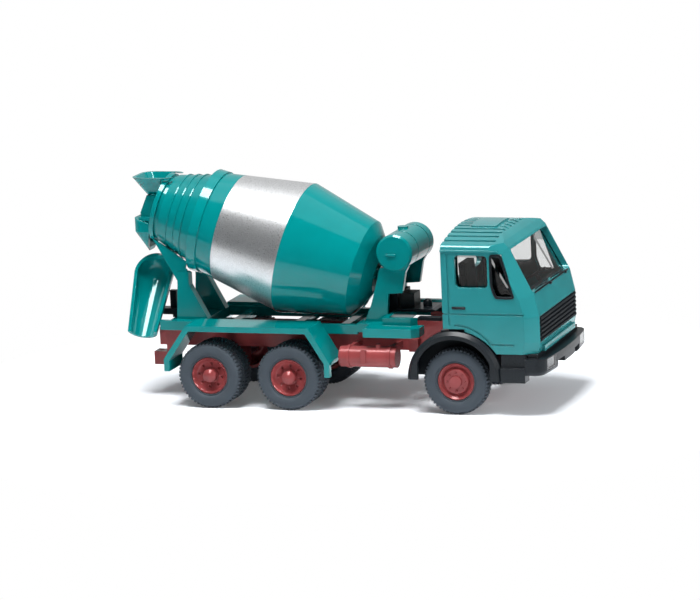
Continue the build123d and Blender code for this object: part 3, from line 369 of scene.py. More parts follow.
def tint(tree, shader, pattern, first, second):
    """Lets the shader's colour drift between two shades along a pattern."""
    ramp = add_node(tree, "ShaderNodeValToRGB", (-400, 300))
    for end, position, colour in zip(ramp.color_ramp.elements, NOISE_RANGE, (first, second)):
        end.position = position
        end.color = (*colour, 1)
    tree.links.new(pattern, ramp.inputs["Fac"])
    tree.links.new(ramp.outputs["Color"], shader.inputs["Base Color"])


def roughen(tree, shader, pattern, low, high):
    """Lets the shader's roughness run between two values along a pattern."""
    ranged = add_node(tree, "ShaderNodeMapRange", (-400, 0), {
        "From Min": NOISE_RANGE[0], "From Max": NOISE_RANGE[1], "To Min": low, "To Max": high})
    tree.links.new(pattern, ranged.inputs["Value"])
    tree.links.new(ranged.outputs["Result"], shader.inputs["Roughness"])


def relief(tree, shader, heights, edge):
    """Rounds the moulding's edges by a radius and lays (pattern, strength, depth) over its skin."""
    rounding = add_node(tree, "ShaderNodeBevel", (-400, -500), {"Radius": edge}, samples=6)
    normal = rounding.outputs["Normal"]
    for number, (pattern, strength, depth) in enumerate(heights):
        bump = add_node(tree, "ShaderNodeBump", (-200 + 200 * number, -400),
                        {"Strength": strength, "Distance": depth})
        tree.links.new(pattern, bump.inputs["Height"])
        tree.links.new(normal, bump.inputs["Normal"])
        normal = bump.outputs["Normal"]
    tree.links.new(normal, shader.inputs["Normal"])


def glossy_moulding(name, colour, gloss=0.09, sheen_tint=(0.7, 1.0, 1.0)):
    """Glossy styrene: an even colour with a faint flow in it, a soft skin and rounded edges."""
    material, shader = new_finish(name)
    if shader:
        tree = material.node_tree
        flow = grain(tree, 6 * MM, 2, (-700, 200))
        skin = grain(tree, 0.35 * MM, 3, (-700, -200))
        wave = grain(tree, 3.5 * MM, 1, (-700, -450))
        tint(tree, shader, flow, shade(colour, 0.95), shade(colour, 1.05))
        roughen(tree, shader, skin, gloss - 0.02, gloss + 0.03)
        relief(tree, shader, [(wave, 0.10, 0.02 * MM), (skin, 0.03, 0.003 * MM)], edge=0.12 * MM)
        set_values(shader, {"IOR": 1.5, "Specular Tint": (*sheen_tint, 1)})
    return material


def satin_moulding(name, colour, gloss=0.38, level=0.22, sheen_tint=(1.0, 1.0, 1.0)):
    """Satin styrene: an even colour with a fine spark-eroded skin."""
    material, shader = new_finish(name)
    if shader:
        tree = material.node_tree
        flow = grain(tree, 4 * MM, 2, (-700, 200))
        skin = grain(tree, 0.12 * MM, 2, (-700, -200))
        tint(tree, shader, flow, shade(colour, 0.88), shade(colour, 1.12))
        roughen(tree, shader, skin, gloss - 0.05, gloss + 0.08)
        relief(tree, shader, [(skin, 0.12, 0.008 * MM)], edge=0.10 * MM)
        set_values(shader, {"IOR": 1.5, "Specular IOR Level": level, "Specular Tint": (*sheen_tint, 1)})
    return material


def red_moulding(context):
    """The oxide red of the chassis and rims."""
    colour = context.scene.mixer_finish.oxide_red
    return satin_moulding("oxide_red_plastic", colour, gloss=0.20, level=0.45, sheen_tint=(1.0, 0.6, 0.6))


def black_moulding(context):
    """The black of the bumper and the small fittings."""
    return satin_moulding("black_plastic", context.scene.mixer_finish.black, gloss=0.30)


def matt_black(context):
    """The duller black of the grille, the cab's interior and the wheel arches; in the arches it is partly
    painted shade.
    """
    return satin_moulding("matt_black_plastic", context.scene.mixer_finish.black, gloss=0.5, level=0.08)


def silver_print(name, colour):
    """Silver paint with fine flakes that catch the light one by one."""
    material, shader = new_finish(name)
    if shader:
        tree = material.node_tree
        flakes = flake(tree, 0.11 * MM, (-700, 200))
        skin = grain(tree, 0.16 * MM, 3, (-700, -200))
        tint(tree, shader, flakes, shade(colour, 1.12), shade(colour, 0.88))
        roughen(tree, shader, skin, 0.24, 0.40)
        relief(tree, shader, [(skin, 0.35, 0.012 * MM)], edge=0.1 * MM)
        set_values(shader, {"Metallic": 0.85, "IOR": 1.5})
    return material


def soft_tyre(name, colour):
    """Soft matt plastic with a dry bloom."""
    material, shader = new_finish(name)
    if shader:
        tree = material.node_tree
        bloom = grain(tree, 1.6 * MM, 4, (-700, 200))
        skin = grain(tree, 0.09 * MM, 2, (-700, -200))
        tint(tree, shader, bloom, shade(colour, 0.94), shade(colour, 1.06))
        roughen(tree, shader, bloom, 0.58, 0.74)
        relief(tree, shader, [(skin, 0.25, 0.01 * MM)], edge=0.06 * MM)
        set_values(shader, {"IOR": 1.48, "Specular IOR Level": 0.25, "Sheen Weight": 0.05,
                            "Sheen Roughness": 0.5})
    return material


def clear_moulding(name, colour, skin_roughness=0.01):
    """Clear polystyrene with the faint waves of a moulded window."""
    material, shader = new_finish(name)
    if shader:
        tree = material.node_tree
        wave = grain(tree, 2.5 * MM, 1, (-700, -200))
        tint(tree, shader, wave, shade(colour, 0.99), colour)
        roughen(tree, shader, wave, 0.0, skin_roughness)
        set_values(shader, {"Transmission Weight": 1.0, "IOR": 1.4})
    return material


def steel_pin(name):
    """Drawn steel wire with turning marks."""
    material, shader = new_finish(name)
    if shader:
        tree = material.node_tree
        marks = grain(tree, 0.08 * MM, 2, (-700, 0))
        tint(tree, shader, marks, (0.46, 0.46, 0.47), (0.62, 0.62, 0.62))
        roughen(tree, shader, marks, 0.26, 0.42)
        relief(tree, shader, [(marks, 0.15, 0.004 * MM)], edge=0.05 * MM)
        set_values(shader, {"Metallic": 1.0})
    return material


def reflector_silver(name):
    """Bright foil behind a lamp's lens."""
    material, shader = new_finish(name)
    if shader:
        tree = material.node_tree
        foil = grain(tree, 0.3 * MM, 2, (-700, 0))
        tint(tree, shader, foil, (0.72, 0.74, 0.77), (0.92, 0.93, 0.94))
        roughen(tree, shader, foil, 0.22, 0.4)
        relief(tree, shader, [(foil, 0.2, 0.01 * MM)], edge=0.05 * MM)
        set_values(shader, {"Metallic": 0.25})
    return material


class MIXER_OT_mixer_finish(Operator):
    """Give the drum, tank, hopper, funnel and chute their glossy teal, and the drum's band its silver"""
    bl_idname = "mixer.mixer_finish"
    bl_label = "Mixer finish"

    def execute(self, context):
        colours = context.scene.mixer_finish
        coat(glossy_moulding("teal_plastic", colours.teal),
             "drum_front_cone", "drum_rear_cone", "hopper", "catch_funnel", "chute", "rear_pedestal",
             "front_pedestal", "water_tank", "mixer_subframe", "rear_mudguard_left", "rear_mudguard_right")
        coat(silver_print("silver_plastic", colours.silver), "drum_band")
        return {"FINISHED"}


class MIXER_OT_cab_finish(Operator):
    """Give the cab its teal, and its windows and lamps their clear plastic"""
    bl_idname = "mixer.cab_finish"
    bl_label = "Cab finish"

    def execute(self, context):
        colours = context.scene.mixer_finish
        coat(glossy_moulding("cab_teal_plastic", colours.cab_teal, gloss=0.13), "cab_shell")
        coat(clear_moulding("clear_glazing", colours.clear), "cab_glazing")
        coat(clear_moulding("lamp_clear", colours.clear, skin_roughness=0.05), "headlamps")
        return {"FINISHED"}


class MIXER_OT_chassis_finish(Operator):
    """Give the chassis and rims their oxide red, the axles their steel and the black mouldings their satin"""
    bl_idname = "mixer.chassis_finish"
    bl_label = "Chassis finish"

    def execute(self, context):
        coat(red_moulding(context), "chassis_frame", "tow_coupling", "fuel_tank", "battery_box",
             "rim_front_left", "rim_front_right")
        coat(black_moulding(context), "bumper", "front_mudguard_left", "front_mudguard_right", "drive_unit",
             "drum_gearbox", "steering_wheel", "chute_bracket")
        coat(matt_black(context), "grille", "cab_interior")
        coat(steel_pin("axle_steel"), *[f"axle_{axle}" for axle in AXLES])
        return {"FINISHED"}


# Tyre: half of its outline from the rim's edge to the tread's middle, as (width, radius) in millimetres
TYRE_WIDTH = 3.1
TWIN_PITCH = 3.5
TREAD_RADIUS = 5.62
LUG_FOOT_RADIUS = 5.45       # lugs grow from the faces outside this radius
TYRE_OUTLINE = [(0.55, 3.25), (0.30, 3.40), (0.36, 3.62), (0.16, 3.80), (0.04, 4.15), (0.0, 4.6),
                (0.05, 4.98), (0.14, 5.28), (0.30, 5.44), (0.70, TREAD_RADIUS), (1.12, TREAD_RADIUS),
                (1.24, TREAD_RADIUS)]
# Rows of lugs across the tread: from one width to another, on every even (0) or odd (1) step round the tyre
LUG_ROWS = [(0.30, 1.12, 0), (1.24, 1.55, 1), (1.55, 1.86, 0), (1.98, 2.80, 1)]


class MIXER_OT_tyres(Operator):
    """Model one tyre with its lugged tread and put a copy, or a twin pair, on every wheel"""
    bl_idname = "mixer.tyres"
    bl_label = "Tyres"

    def execute(self, context):
        trim = context.scene.mixer_trim
        steps = 2 * trim.lug_count
        outline = TYRE_OUTLINE + [(TYRE_WIDTH / 2, TREAD_RADIUS)]
        outline += [(TYRE_WIDTH - width, radius) for width, radius in reversed(TYRE_OUTLINE)]
        begin()
        bpy.ops.mesh.primitive_circle_add(vertices=len(outline), radius=MM)
        tyre = bpy.context.object
        for vertex, (width, radius) in zip(tyre.data.vertices, outline):
            vertex.co = (0, (width - TYRE_WIDTH / 2) * MM, radius * MM)
        bpy.ops.object.mode_set(mode="EDIT")
        bpy.ops.mesh.select_all(action="SELECT")
        bpy.ops.mesh.spin(steps=steps, angle=2 * pi, center=(0, 0, 0), axis=(0, 1, 0))
        bpy.ops.mesh.select_all(action="SELECT")
        bpy.ops.mesh.remove_doubles(threshold=0.002 * MM)
        bpy.ops.mesh.normals_make_consistent(inside=False)
        close(tyre)
        growth = (TREAD_RADIUS * MM + trim.lug_height) / (TREAD_RADIUS * MM)
        for first, last, offset in LUG_ROWS:
            low, high = (first - TYRE_WIDTH / 2) * MM, (last - TYRE_WIDTH / 2) * MM

            def on_lug(centre, normal):
                step = int((atan2(centre.z, centre.x) + pi) / (2 * pi) * steps)
                radius = (centre.x ** 2 + centre.z ** 2) ** 0.5
                return low < centre.y < high and radius > LUG_FOOT_RADIUS * MM and step % 2 == offset

            open_faces(tyre, on_lug)
            bpy.ops.mesh.extrude_region()
            bpy.ops.transform.resize(value=(growth, 1, growth), center_override=(0, 0, 0))
            close(tyre)
        smooth(tyre, 32)
        finish = soft_tyre("tyre_plastic", context.scene.mixer_finish.tyre_grey)
        for axle in AXLES:
            for side, sign in SIDES.items():
                node = f"tyre_{axle}_{side}"
                low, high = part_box(node)
                outer = high.y if sign > 0 else low.y
                middle = (low + high) / 2
                parts = []
                for number in range(1 if axle == "front" else 2):
                    y = outer - sign * (TYRE_WIDTH / 2 + number * TWIN_PITCH) * MM
                    parts.append(copied(tyre, (middle.x, y, middle.z)))
                piece = fit(joined(parts), f"treaded_{node}", f"wheelset_{axle}", finish)
                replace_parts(piece, node)
        bpy.data.objects.remove(tyre)
        return {"FINISHED"}


class MIXER_OT_front_wheel_nuts(Operator):
    """Model one wheel nut and put a ring of eight on each front rim"""
    bl_idname = "mixer.front_wheel_nuts"
    bl_label = "Front wheel nuts"
    ring_radius = 1.62 * MM
    disc_depth = 0.4 * MM        # of the rim's disc behind its outer edge
    nut_depth = 0.36 * MM
    step = 0.05 * MM             # width of the nut's chamfer and of its ring
    bore_depth = 0.14 * MM

    def execute(self, context):
        trim = context.scene.mixer_trim
        red = red_moulding(context)
        for side, sign in SIDES.items():
            low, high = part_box(f"rim_front_{side}")
            face_y = (high.y if sign > 0 else low.y) - sign * self.disc_depth
            centre = Vector((FRONT_AXLE.x, face_y, FRONT_AXLE.z))
            begin()
            bpy.ops.mesh.primitive_cylinder_add(vertices=12, radius=trim.nut_radius, depth=self.nut_depth,
                                                location=centre + Vector((self.ring_radius, 0, 0)),
                                                rotation=(pi / 2, 0, 0))
            nut = settle(bpy.context.object)
            open_faces(nut, lambda middle, normal: normal.y * sign > 0.9)
            bpy.ops.mesh.inset(thickness=self.step, depth=0.03 * MM)
            bpy.ops.mesh.inset(thickness=self.step)
            inward = (0, -sign * self.bore_depth, 0)
            bpy.ops.mesh.extrude_region_move(TRANSFORM_OT_translate={"value": inward})
            smooth(close(nut), 50)
            fit(joined(ring_of_eight(nut, centre)), f"wheel_nuts_front_{side}", "wheelset_front",
                red)
        return {"FINISHED"}


class MIXER_OT_rear_rims(Operator):
    """Cut the eight holes into a copy of each twin rim"""
    bl_idname = "mixer.rear_rims"
    bl_label = "Rear rims"
    ring_radius = 2.08 * MM
    ring_turn = radians(6.75)    # of the first hole from the truck's front
    plate_depth = 1.0 * MM       # of the rim's disc behind its outer edge
    hole_depth = 0.55 * MM
    hole_sides = 16

    def execute(self, context):
        trim = context.scene.mixer_trim
        red = red_moulding(context)
        for axle in AXLES[1:]:
            for side, sign in SIDES.items():
                node = f"rim_{axle}_{side}"
                low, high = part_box(node)
                middle = (low + high) / 2
                outer = high.y if sign > 0 else low.y
                pick(frame["nodes"][node])
                bpy.ops.object.duplicate(linked=False)
                rim = bpy.context.object
                rim.parent = None
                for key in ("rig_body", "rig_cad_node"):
                    if key in rim:
                        del rim[key]
                bpy.ops.object.mode_set(mode="EDIT")
                bpy.ops.mesh.select_all(action="SELECT")
                bpy.ops.mesh.remove_doubles(threshold=0.0005 * MM)
                close(rim)
                centre = Vector((middle.x, outer - sign * self.plate_depth, middle.z))
                begin()
                bpy.ops.mesh.primitive_cylinder_add(vertices=self.hole_sides, radius=trim.hole_radius,
                                                    depth=2 * self.hole_depth,
                                                    location=centre + Vector((self.ring_radius, 0, 0)),
                                                    rotation=(pi / 2, 0, 0))
                drills = ring_of_eight(settle(bpy.context.object), centre)
                drill = turned(joined(drills), self.ring_turn, "Y", centre)
                before = len(rim.data.polygons)
                pick(rim)
                bpy.ops.object.modifier_add(type="BOOLEAN")
                cut = rim.modifiers[-1]
                cut.operation = "DIFFERENCE"
                cut.solver = "EXACT"
                cut.object = drill
                bpy.ops.object.modifier_apply(modifier=cut.name)
                bpy.data.objects.remove(drill)
                if len(rim.data.polygons) < before + 8 * self.hole_sides:
                    raise RuntimeError(f"the holes of {node} weren't cut")
                smooth(rim, 30)
                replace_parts(fit(rim, f"drilled_{node}", f"wheelset_{axle}", red), node)
        return {"FINISHED"}


class MIXER_OT_window_rubbers(Operator):
    """Model the black rubber round each quarter window"""
    bl_idname = "mixer.window_rubbers"
    bl_label = "Window rubbers"
    corners = [(6.85, 28.35), (6.85, 22.85), (7.65, 20.6), (11.2, 20.6), (8.95, 28.35)]
    corner_radius = 0.55 * MM
    sunk = 0.30 * MM             # below the cab's flat side
    thickness = 0.42 * MM

    def execute(self, context):
        width = context.scene.mixer_trim.rubber_width
        black = black_moulding(context)
        for side, sign in SIDES.items():
            begin()
            bpy.ops.mesh.primitive_circle_add(vertices=len(self.corners), radius=MM, fill_type="NGON")
            rubber = bpy.context.object
            for vertex, (station, height) in zip(rubber.data.vertices, self.corners):
                vertex.co = at(station, 0, height)
            bpy.ops.object.mode_set(mode="EDIT")
            bpy.ops.mesh.select_all(action="SELECT")
            bpy.ops.mesh.bevel(affect="VERTICES", offset=self.corner_radius, segments=4)
            bpy.ops.mesh.select_mode(type="FACE")
            bpy.ops.mesh.select_all(action="SELECT")
            bpy.ops.mesh.normals_make_consistent(inside=False)
            bpy.ops.mesh.inset(thickness=width)
            bpy.ops.mesh.delete(type="FACE")
            bpy.ops.mesh.select_all(action="SELECT")
            bpy.ops.mesh.extrude_region_move(TRANSFORM_OT_translate={"value": (0, sign * self.thickness, 0)})
            bpy.ops.mesh.select_all(action="SELECT")
            bpy.ops.transform.translate(value=(0, sign * (CAB_SIDE * MM - self.sunk), 0))
            bpy.ops.mesh.normals_make_consistent(inside=False)
            soften(close(rubber), 0.05 * MM)
            fit(rubber, f"quarter_window_rubber_{side}", "root", black)
        return {"FINISHED"}


class MIXER_OT_liners_and_arch_shade(Operator):
    """Model the liner inside each front mudguard and the wall behind the wheel: partly the mudguard's own
    black inside, partly painted shade where the arch lies in shade
    """
    bl_idname = "mixer.arch_liners"
    bl_label = "Liners and arch shade"
    outline = [(11.3, 7.95), (11.3, 8.3), (9.8, 8.3), (9.8, 4.4), (10.15, 4.4), (10.15, 7.95)]  # (y, radius)
    arc_height = 6.3             # of the middle of the mudguard's arc

    def execute(self, context):
        black = matt_black(context)
        centre = at(0, 0, self.arc_height)
        for side, sign in SIDES.items():
            begin()
            bpy.ops.mesh.primitive_circle_add(vertices=len(self.outline), radius=MM)
            liner = bpy.context.object
            for vertex, (y, radius) in zip(liner.data.vertices, self.outline):
                vertex.co = centre + Vector((radius * MM, sign * y * MM, 0))
            bpy.ops.object.mode_set(mode="EDIT")
            bpy.ops.mesh.select_all(action="SELECT")
            bpy.ops.mesh.spin(steps=32, angle=-pi, center=centre, axis=(0, -1, 0))
            close(liner)
            for end in (1, -1):
                self.cap(liner, centre, end)
            pick(liner)
            bpy.ops.object.mode_set(mode="EDIT")
            bpy.ops.mesh.select_all(action="SELECT")
            bpy.ops.mesh.normals_make_consistent(inside=False)
            # The black liner is partly painted shade: its wall behind the wheel darkens the arch where shade
            # falls and hides the chassis
            fit(smooth(close(liner), 30), f"liner_and_arch_shade_{side}", "root", black)
        return {"FINISHED"}

    def cap(self, liner, centre, end):
        """Closes one foot of the liner's arc."""
        pick(liner)
        bpy.ops.object.mode_set(mode="EDIT")
        bpy.ops.mesh.select_mode(type="VERT")
        bpy.ops.mesh.select_all(action="DESELECT")
        mesh = bmesh.from_edit_mesh(liner.data)
        for vertex in mesh.verts:
            at_foot = abs(vertex.co.z - centre.z) < 0.01 * MM
            vertex.select_set(at_foot and (vertex.co.x - centre.x) * end > 0)
        mesh.select_flush(True)
        bmesh.update_edit_mesh(liner.data)
        bpy.ops.mesh.edge_face_add()
        close(liner)


class MIXER_OT_screen_seal(Operator):
    """Model the black seal along the foot of the windscreen"""
    bl_idname = "mixer.screen_seal"
    bl_label = "Windscreen seal"
    size = (0.34 * MM, 23.2 * MM, 0.3 * MM)
    place = (14.0, 21.32)        # station and height
    lean = radians(60)

    def execute(self, context):
        middle = at(self.place[0], 0, self.place[1])
        seal = turned(bar(self.size, middle, taper=0.9), self.lean, "Y", middle)
        soften(seal, 0.06 * MM)
        fit(seal, "screen_seal", "root", black_moulding(context))
        return {"FINISHED"}


class MIXER_OT_wipers(Operator):
    """Model one wiper with its knuckle, arm and blade, and lay two along the foot of the windscreen"""
    bl_idname = "mixer.wipers"
    bl_label = "Wipers"
    knuckles = {"right": -1.6, "left": 8.4}
    knuckle_radius = 0.27 * MM
    knuckle_depth = 0.36 * MM
    arm_share = 0.56             # of the blade's length, from the knuckle to the blade's middle
    arm_section = (0.32 * MM, 0.18 * MM)     # up the screen and out from it
    arm_bend = (0, 0.36 * MM, -0.04 * MM)    # of the arm's far end
    arm_draw = (1, 0.55, 0.7)                # of the arm's far end to its near one
    blade_section = (0.26 * MM, 0.24 * MM)
    blade_y = 0.66 * MM          # up the screen from the knuckle
    carrier_share = 0.34         # of the blade's length
    carrier_section = (0.34 * MM, 0.16 * MM)
    edge = 0.04 * MM             # radius of the rounded edges
    stand_off = 0.02 * MM        # out from the screen

    def execute(self, context):
        black = black_moulding(context)
        length = context.scene.mixer_trim.blade_length
        wiper = joined([self.knuckle(), self.arm(length), self.blade(length), self.carrier(length)])
        foot, top = (at(station, 0, height) for station, height in (SCREEN_FOOT, SCREEN_TOP))
        up = (top - foot).normalized()
        across = Vector((0, 1, 0))
        out = across.cross(up)
        stand = Matrix((across, up, out)).transposed().to_4x4()
        for side, y in self.knuckles.items():
            place = foot + Vector((0, y * MM, 0)) + out * self.stand_off
            piece = copied(wiper)
            piece.matrix_world = Matrix.Translation(place) @ stand
            fit(settle(piece), f"wiper_{side}", "root", black)
        bpy.data.objects.remove(wiper)
        return {"FINISHED"}

    def knuckle(self):
        """The round foot on the wiper's shaft."""
        begin()
        bpy.ops.mesh.primitive_cylinder_add(vertices=20, radius=self.knuckle_radius, depth=self.knuckle_depth,
                                            location=(0, 0.02 * MM, 0.14 * MM))
        knuckle = settle(bpy.context.object)
        open_faces(knuckle, lambda middle, normal: normal.z > 0.9)
        bpy.ops.mesh.inset(thickness=0.08 * MM, depth=0.03 * MM)
        return soften(close(knuckle), self.edge)

    def arm(self, length):
        """The arm, drawn in and bent up towards the blade at its far end."""
        reach = length * self.arm_share
        arm = bar((reach, *self.arm_section), (-reach / 2, 0.22 * MM, 0.32 * MM))
        open_faces(arm, lambda middle, normal: normal.x < -0.9)
        bpy.ops.transform.resize(value=self.arm_draw)
        bpy.ops.transform.translate(value=self.arm_bend)
        return soften(close(arm), self.edge)

    def blade(self, length):
        """The rubber blade on the glass."""
        place = (-length * self.arm_share, self.blade_y, 0.16 * MM)
        blade = bar((length, *self.blade_section), place, taper=0.97)
        open_faces(blade, lambda middle, normal: normal.z > 0.9)
        bpy.ops.mesh.inset(thickness=0.03 * MM, depth=0.03 * MM)
        return soften(close(blade), 0.03 * MM)

    def carrier(self, length):
        """The short carrier between the arm and the blade."""
        place = (-length * self.arm_share, self.blade_y, 0.33 * MM)
        carrier = bar((length * self.carrier_share, *self.carrier_section), place, taper=0.8)
        return soften(carrier, self.edge)


class MIXER_OT_door_handles(Operator):
    """Model the black pull on each cab door"""
    bl_idname = "mixer.door_handles"
    bl_label = "Door handles"
    size = (2.4 * MM, 0.3 * MM, 0.45 * MM)
    place = (1.1, 18.9)          # station and height
    proud = 0.02                 # of its middle outside the cab's side
    border = 0.10 * MM           # round the raised grip
    grip_height = 0.07 * MM

    def execute(self, context):
        black = black_moulding(context)
        station, height = self.place
        for side, sign in SIDES.items():
            handle = bar(self.size, at(station, sign * (CAB_SIDE + self.proud), height))
            open_faces(handle, lambda middle, normal: normal.y * sign > 0.9)
            bpy.ops.mesh.inset(thickness=self.border, depth=0.0)
            outward = (0, sign * self.grip_height, 0)
            bpy.ops.mesh.extrude_region_move(TRANSFORM_OT_translate={"value": outward})
            soften(close(handle), 0.04 * MM)
            fit(handle, f"door_handle_{side}", "root", black)
        return {"FINISHED"}


class MIXER_OT_rail_strips(Operator):
    """Model the hollowed black strip on the raised part of each rail"""
    bl_idname = "mixer.rail_strips"
    bl_label = "Rail strips"
    size = (4.5 * MM, 1.4 * MM, 0.75 * MM)
    place = (-7.05, 4.15, 15.0)  # station, half width and height
    border = 0.14 * MM           # round the hollow
    hollow_depth = 0.12 * MM

    def execute(self, context):
        black = black_moulding(context)
        station, y, height = self.place
        for side, sign in SIDES.items():
            strip = bar(self.size, at(station, sign * y, height), taper=0.9)
            open_faces(strip, lambda middle, normal: normal.z > 0.9)
            bpy.ops.mesh.inset(thickness=self.border, depth=0.0)
            downward = (0, 0, -self.hollow_depth)
            bpy.ops.mesh.extrude_region_move(TRANSFORM_OT_translate={"value": downward})
            soften(close(strip), 0.06 * MM)
            fit(strip, f"rail_strip_{side}", "root", black)
        return {"FINISHED"}


class MIXER_OT_lamp_reflectors(Operator):
    """Model the fluted reflector behind each clear headlamp"""
    bl_idname = "mixer.lamp_reflectors"
    bl_label = "Lamp reflectors"
    place = (15.35, 10.1, 9.05)  # station, half width and height
    width = 3.9
    height = 1.6
    flutes = 9
    flute_depth = 0.16 * MM
    foil_thickness = 0.1 * MM

    def execute(self, context):
        silver = reflector_silver("lamp_reflector")
        station, y, z = self.place
        pitch = self.width / self.flutes

        def on_flute(centre, normal):
            return int((abs(centre.y) / MM - y + self.width / 2) / pitch) % 2 == 1

        for side, sign in SIDES.items():
            begin()
            bpy.ops.mesh.primitive_grid_add(x_subdivisions=self.flutes, y_subdivisions=3, size=1,
                                            location=at(station, sign * y, z), rotation=(pi / 2, 0, pi / 2))
            bpy.ops.transform.resize(value=(1, self.width * MM, self.height * MM))
            dish = settle(bpy.context.object)
            open_faces(dish, on_flute)
            bpy.ops.transform.translate(value=(-self.flute_depth, 0, 0))
            pick(close(dish))
            bpy.ops.object.modifier_add(type="SOLIDIFY")
            dish.modifiers[-1].thickness = self.foil_thickness
            bpy.ops.object.modifier_apply(modifier=dish.modifiers[-1].name)
            fit(smooth(dish, 60), f"lamp_reflector_{side}", "root", silver)
        return {"FINISHED"}


class MIXER_OT_studio(Operator):
    """Set up the pale floor, the soft boxes, the dark screen, the even room light and the camera"""
    bl_idname = "mixer.studio"
    bl_label = "Studio"
    key_place, key_size = (-0.03, -0.13, 0.48), (0.24, 0.18)
    fill_place, fill_size = (0.60, -0.08, 0.22), (0.30, 0.30)
    camera_target = (0.10, 0, 17.15)         # in millimetres
    paper = (0.83, 0.86, 0.90, 1)
    paper_lift = 0.08                        # glow that keeps the shadow soft
    paper_reach = (0.047, 0.078)             # where the paper starts to run out to white, and where it has
    room_tone = (0.93, 0.97, 1.0, 1)
    white = (1, 1, 1, 1)
    screen_radius = 0.13
    screen_depth_share = 0.7                 # the screen is an oval, narrower across the truck
    screen_step_height = 0.013               # windows look under the screen up to here
    screen_height = 0.183
    tail_direction = (-0.8, 1, 0)            # from the cab's right front to the drum's left rear
    screen_fade = (0.02, 0.09)               # from dark to grey, in metres along the tail's direction
    screen_greys = (0.03, 0.55)

    def execute(self, context):
        studio = context.scene.mixer_studio
        scene = context.scene
        self.floor()
        felt = self.felt()
        self.screen("studio_screen_foot", 0.0, self.screen_step_height, felt, ("transmission",))
        self.screen("studio_screen", self.screen_step_height, self.screen_height, felt, ())
        self.room(scene, studio.room_light)
        target = (CAD_BOX[0] + CAD_BOX[1]) / 2
        self.soft_box("key_soft_box", self.key_place, target, self.key_size, studio.key_power)
        self.soft_box("fill_soft_box", self.fill_place, target, self.fill_size, studio.fill_power)
        self.camera(scene, studio)
        scene.view_settings.view_transform = "Standard"
        return {"FINISHED"}

    def blank(self, name):
        """A new material, its node tree and the output that is all the tree holds."""
        material = bpy.data.materials.new(name)
        material.use_nodes = True
        material.node_tree.nodes.clear()
        return material, material.node_tree, add_node(material.node_tree, "ShaderNodeOutputMaterial")

    def floor(self):
        """A pale sheet that keeps the shadow near the model and runs out to white."""
        begin()
        bpy.ops.mesh.primitive_plane_add(size=3, location=(0, 0, 0))
        floor = bpy.context.object
        floor.name = "studio_floor"
        material, tree, output = self.blank("floor_white")
        paper = add_node(tree, "ShaderNodeBsdfDiffuse", values={"Color": self.paper})
        lift = add_node(tree, "ShaderNodeEmission")
        lifted = add_node(tree, "ShaderNodeAddShader")
        white = add_node(tree, "ShaderNodeEmission")
        coordinates = add_node(tree, "ShaderNodeTexCoord")
        reach = add_node(tree, "ShaderNodeVectorMath", operation="LENGTH")
        fade = add_node(tree, "ShaderNodeMapRange", values={
            "From Min": self.paper_reach[0], "From Max": self.paper_reach[1]})
        seen = self.seen_rays(tree)
        white_share = add_node(tree, "ShaderNodeMath", operation="MULTIPLY")
        lift_share = add_node(tree, "ShaderNodeMath", values={1: self.paper_lift}, operation="MULTIPLY")
        mix = add_node(tree, "ShaderNodeMixShader")
        for source, socket in (
                (coordinates.outputs["Object"], reach.inputs[0]),
                (reach.outputs["Value"], fade.inputs["Value"]),
                (fade.outputs["Result"], white_share.inputs[0]),
                (seen, white_share.inputs[1]),
                (seen, lift_share.inputs[0]),
                (lift_share.outputs["Value"], lift.inputs["Strength"]),
                (paper.outputs["BSDF"], lifted.inputs[0]),
                (lift.outputs["Emission"], lifted.inputs[1]),
                (white_share.outputs["Value"], mix.inputs["Fac"]),
                (lifted.outputs["Shader"], mix.inputs[1]),
                (white.outputs["Emission"], mix.inputs[2]),
                (mix.outputs["Shader"], output.inputs["Surface"])):
            tree.links.new(source, socket)
        floor.data.materials.append(material)

    def felt(self):
        """The screen's felt: dark in front of the model and beside its cab, grey behind its tail."""
        material, tree, output = self.blank("screen_felt")
        coordinates = add_node(tree, "ShaderNodeTexCoord")
        along = add_node(tree, "ShaderNodeVectorMath", values={1: self.tail_direction},
                         operation="DOT_PRODUCT")
        greys = add_node(tree, "ShaderNodeMapRange", values={
            "From Min": self.screen_fade[0], "From Max": self.screen_fade[1],
            "To Min": self.screen_greys[0], "To Max": self.screen_greys[1]})
        glow = add_node(tree, "ShaderNodeEmission")
        tree.links.new(coordinates.outputs["Object"], along.inputs[0])
        tree.links.new(along.outputs["Value"], greys.inputs["Value"])
        tree.links.new(greys.outputs["Result"], glow.inputs["Strength"])
        tree.links.new(glow.outputs["Emission"], output.inputs["Surface"])
        return material

    def screen(self, name, foot, top, felt, also_unseen):
        """A part of the screen round the set, from one height to another, seen only in gloss and glass."""
        begin()
        bpy.ops.mesh.primitive_cylinder_add(vertices=64, radius=self.screen_radius, depth=top - foot,
                                            end_fill_type="NOTHING", location=(0, 0, (foot + top) / 2))
        bpy.ops.transform.resize(value=(1, self.screen_depth_share, 1))
        screen = settle(bpy.context.object)
        screen.name = name
        for ray in ("camera", "diffuse", "volume_scatter", "shadow", *also_unseen):
            setattr(screen, f"visible_{ray}", False)
        screen.data.materials.append(felt)

    def seen_rays(self, tree):
        """One where a ray comes from the camera, a gloss or a window, else nought."""
        path = add_node(tree, "ShaderNodeLightPath")
        camera_or_gloss = add_node(tree, "ShaderNodeMath", operation="MAXIMUM")
        any_of_them = add_node(tree, "ShaderNodeMath", operation="MAXIMUM")
        tree.links.new(path.outputs["Is Camera Ray"], camera_or_gloss.inputs[0])
        tree.links.new(path.outputs["Is Glossy Ray"], camera_or_gloss.inputs[1])
        tree.links.new(camera_or_gloss.outputs["Value"], any_of_them.inputs[0])
        tree.links.new(path.outputs["Is Transmission Ray"], any_of_them.inputs[1])
        return any_of_them.outputs["Value"]

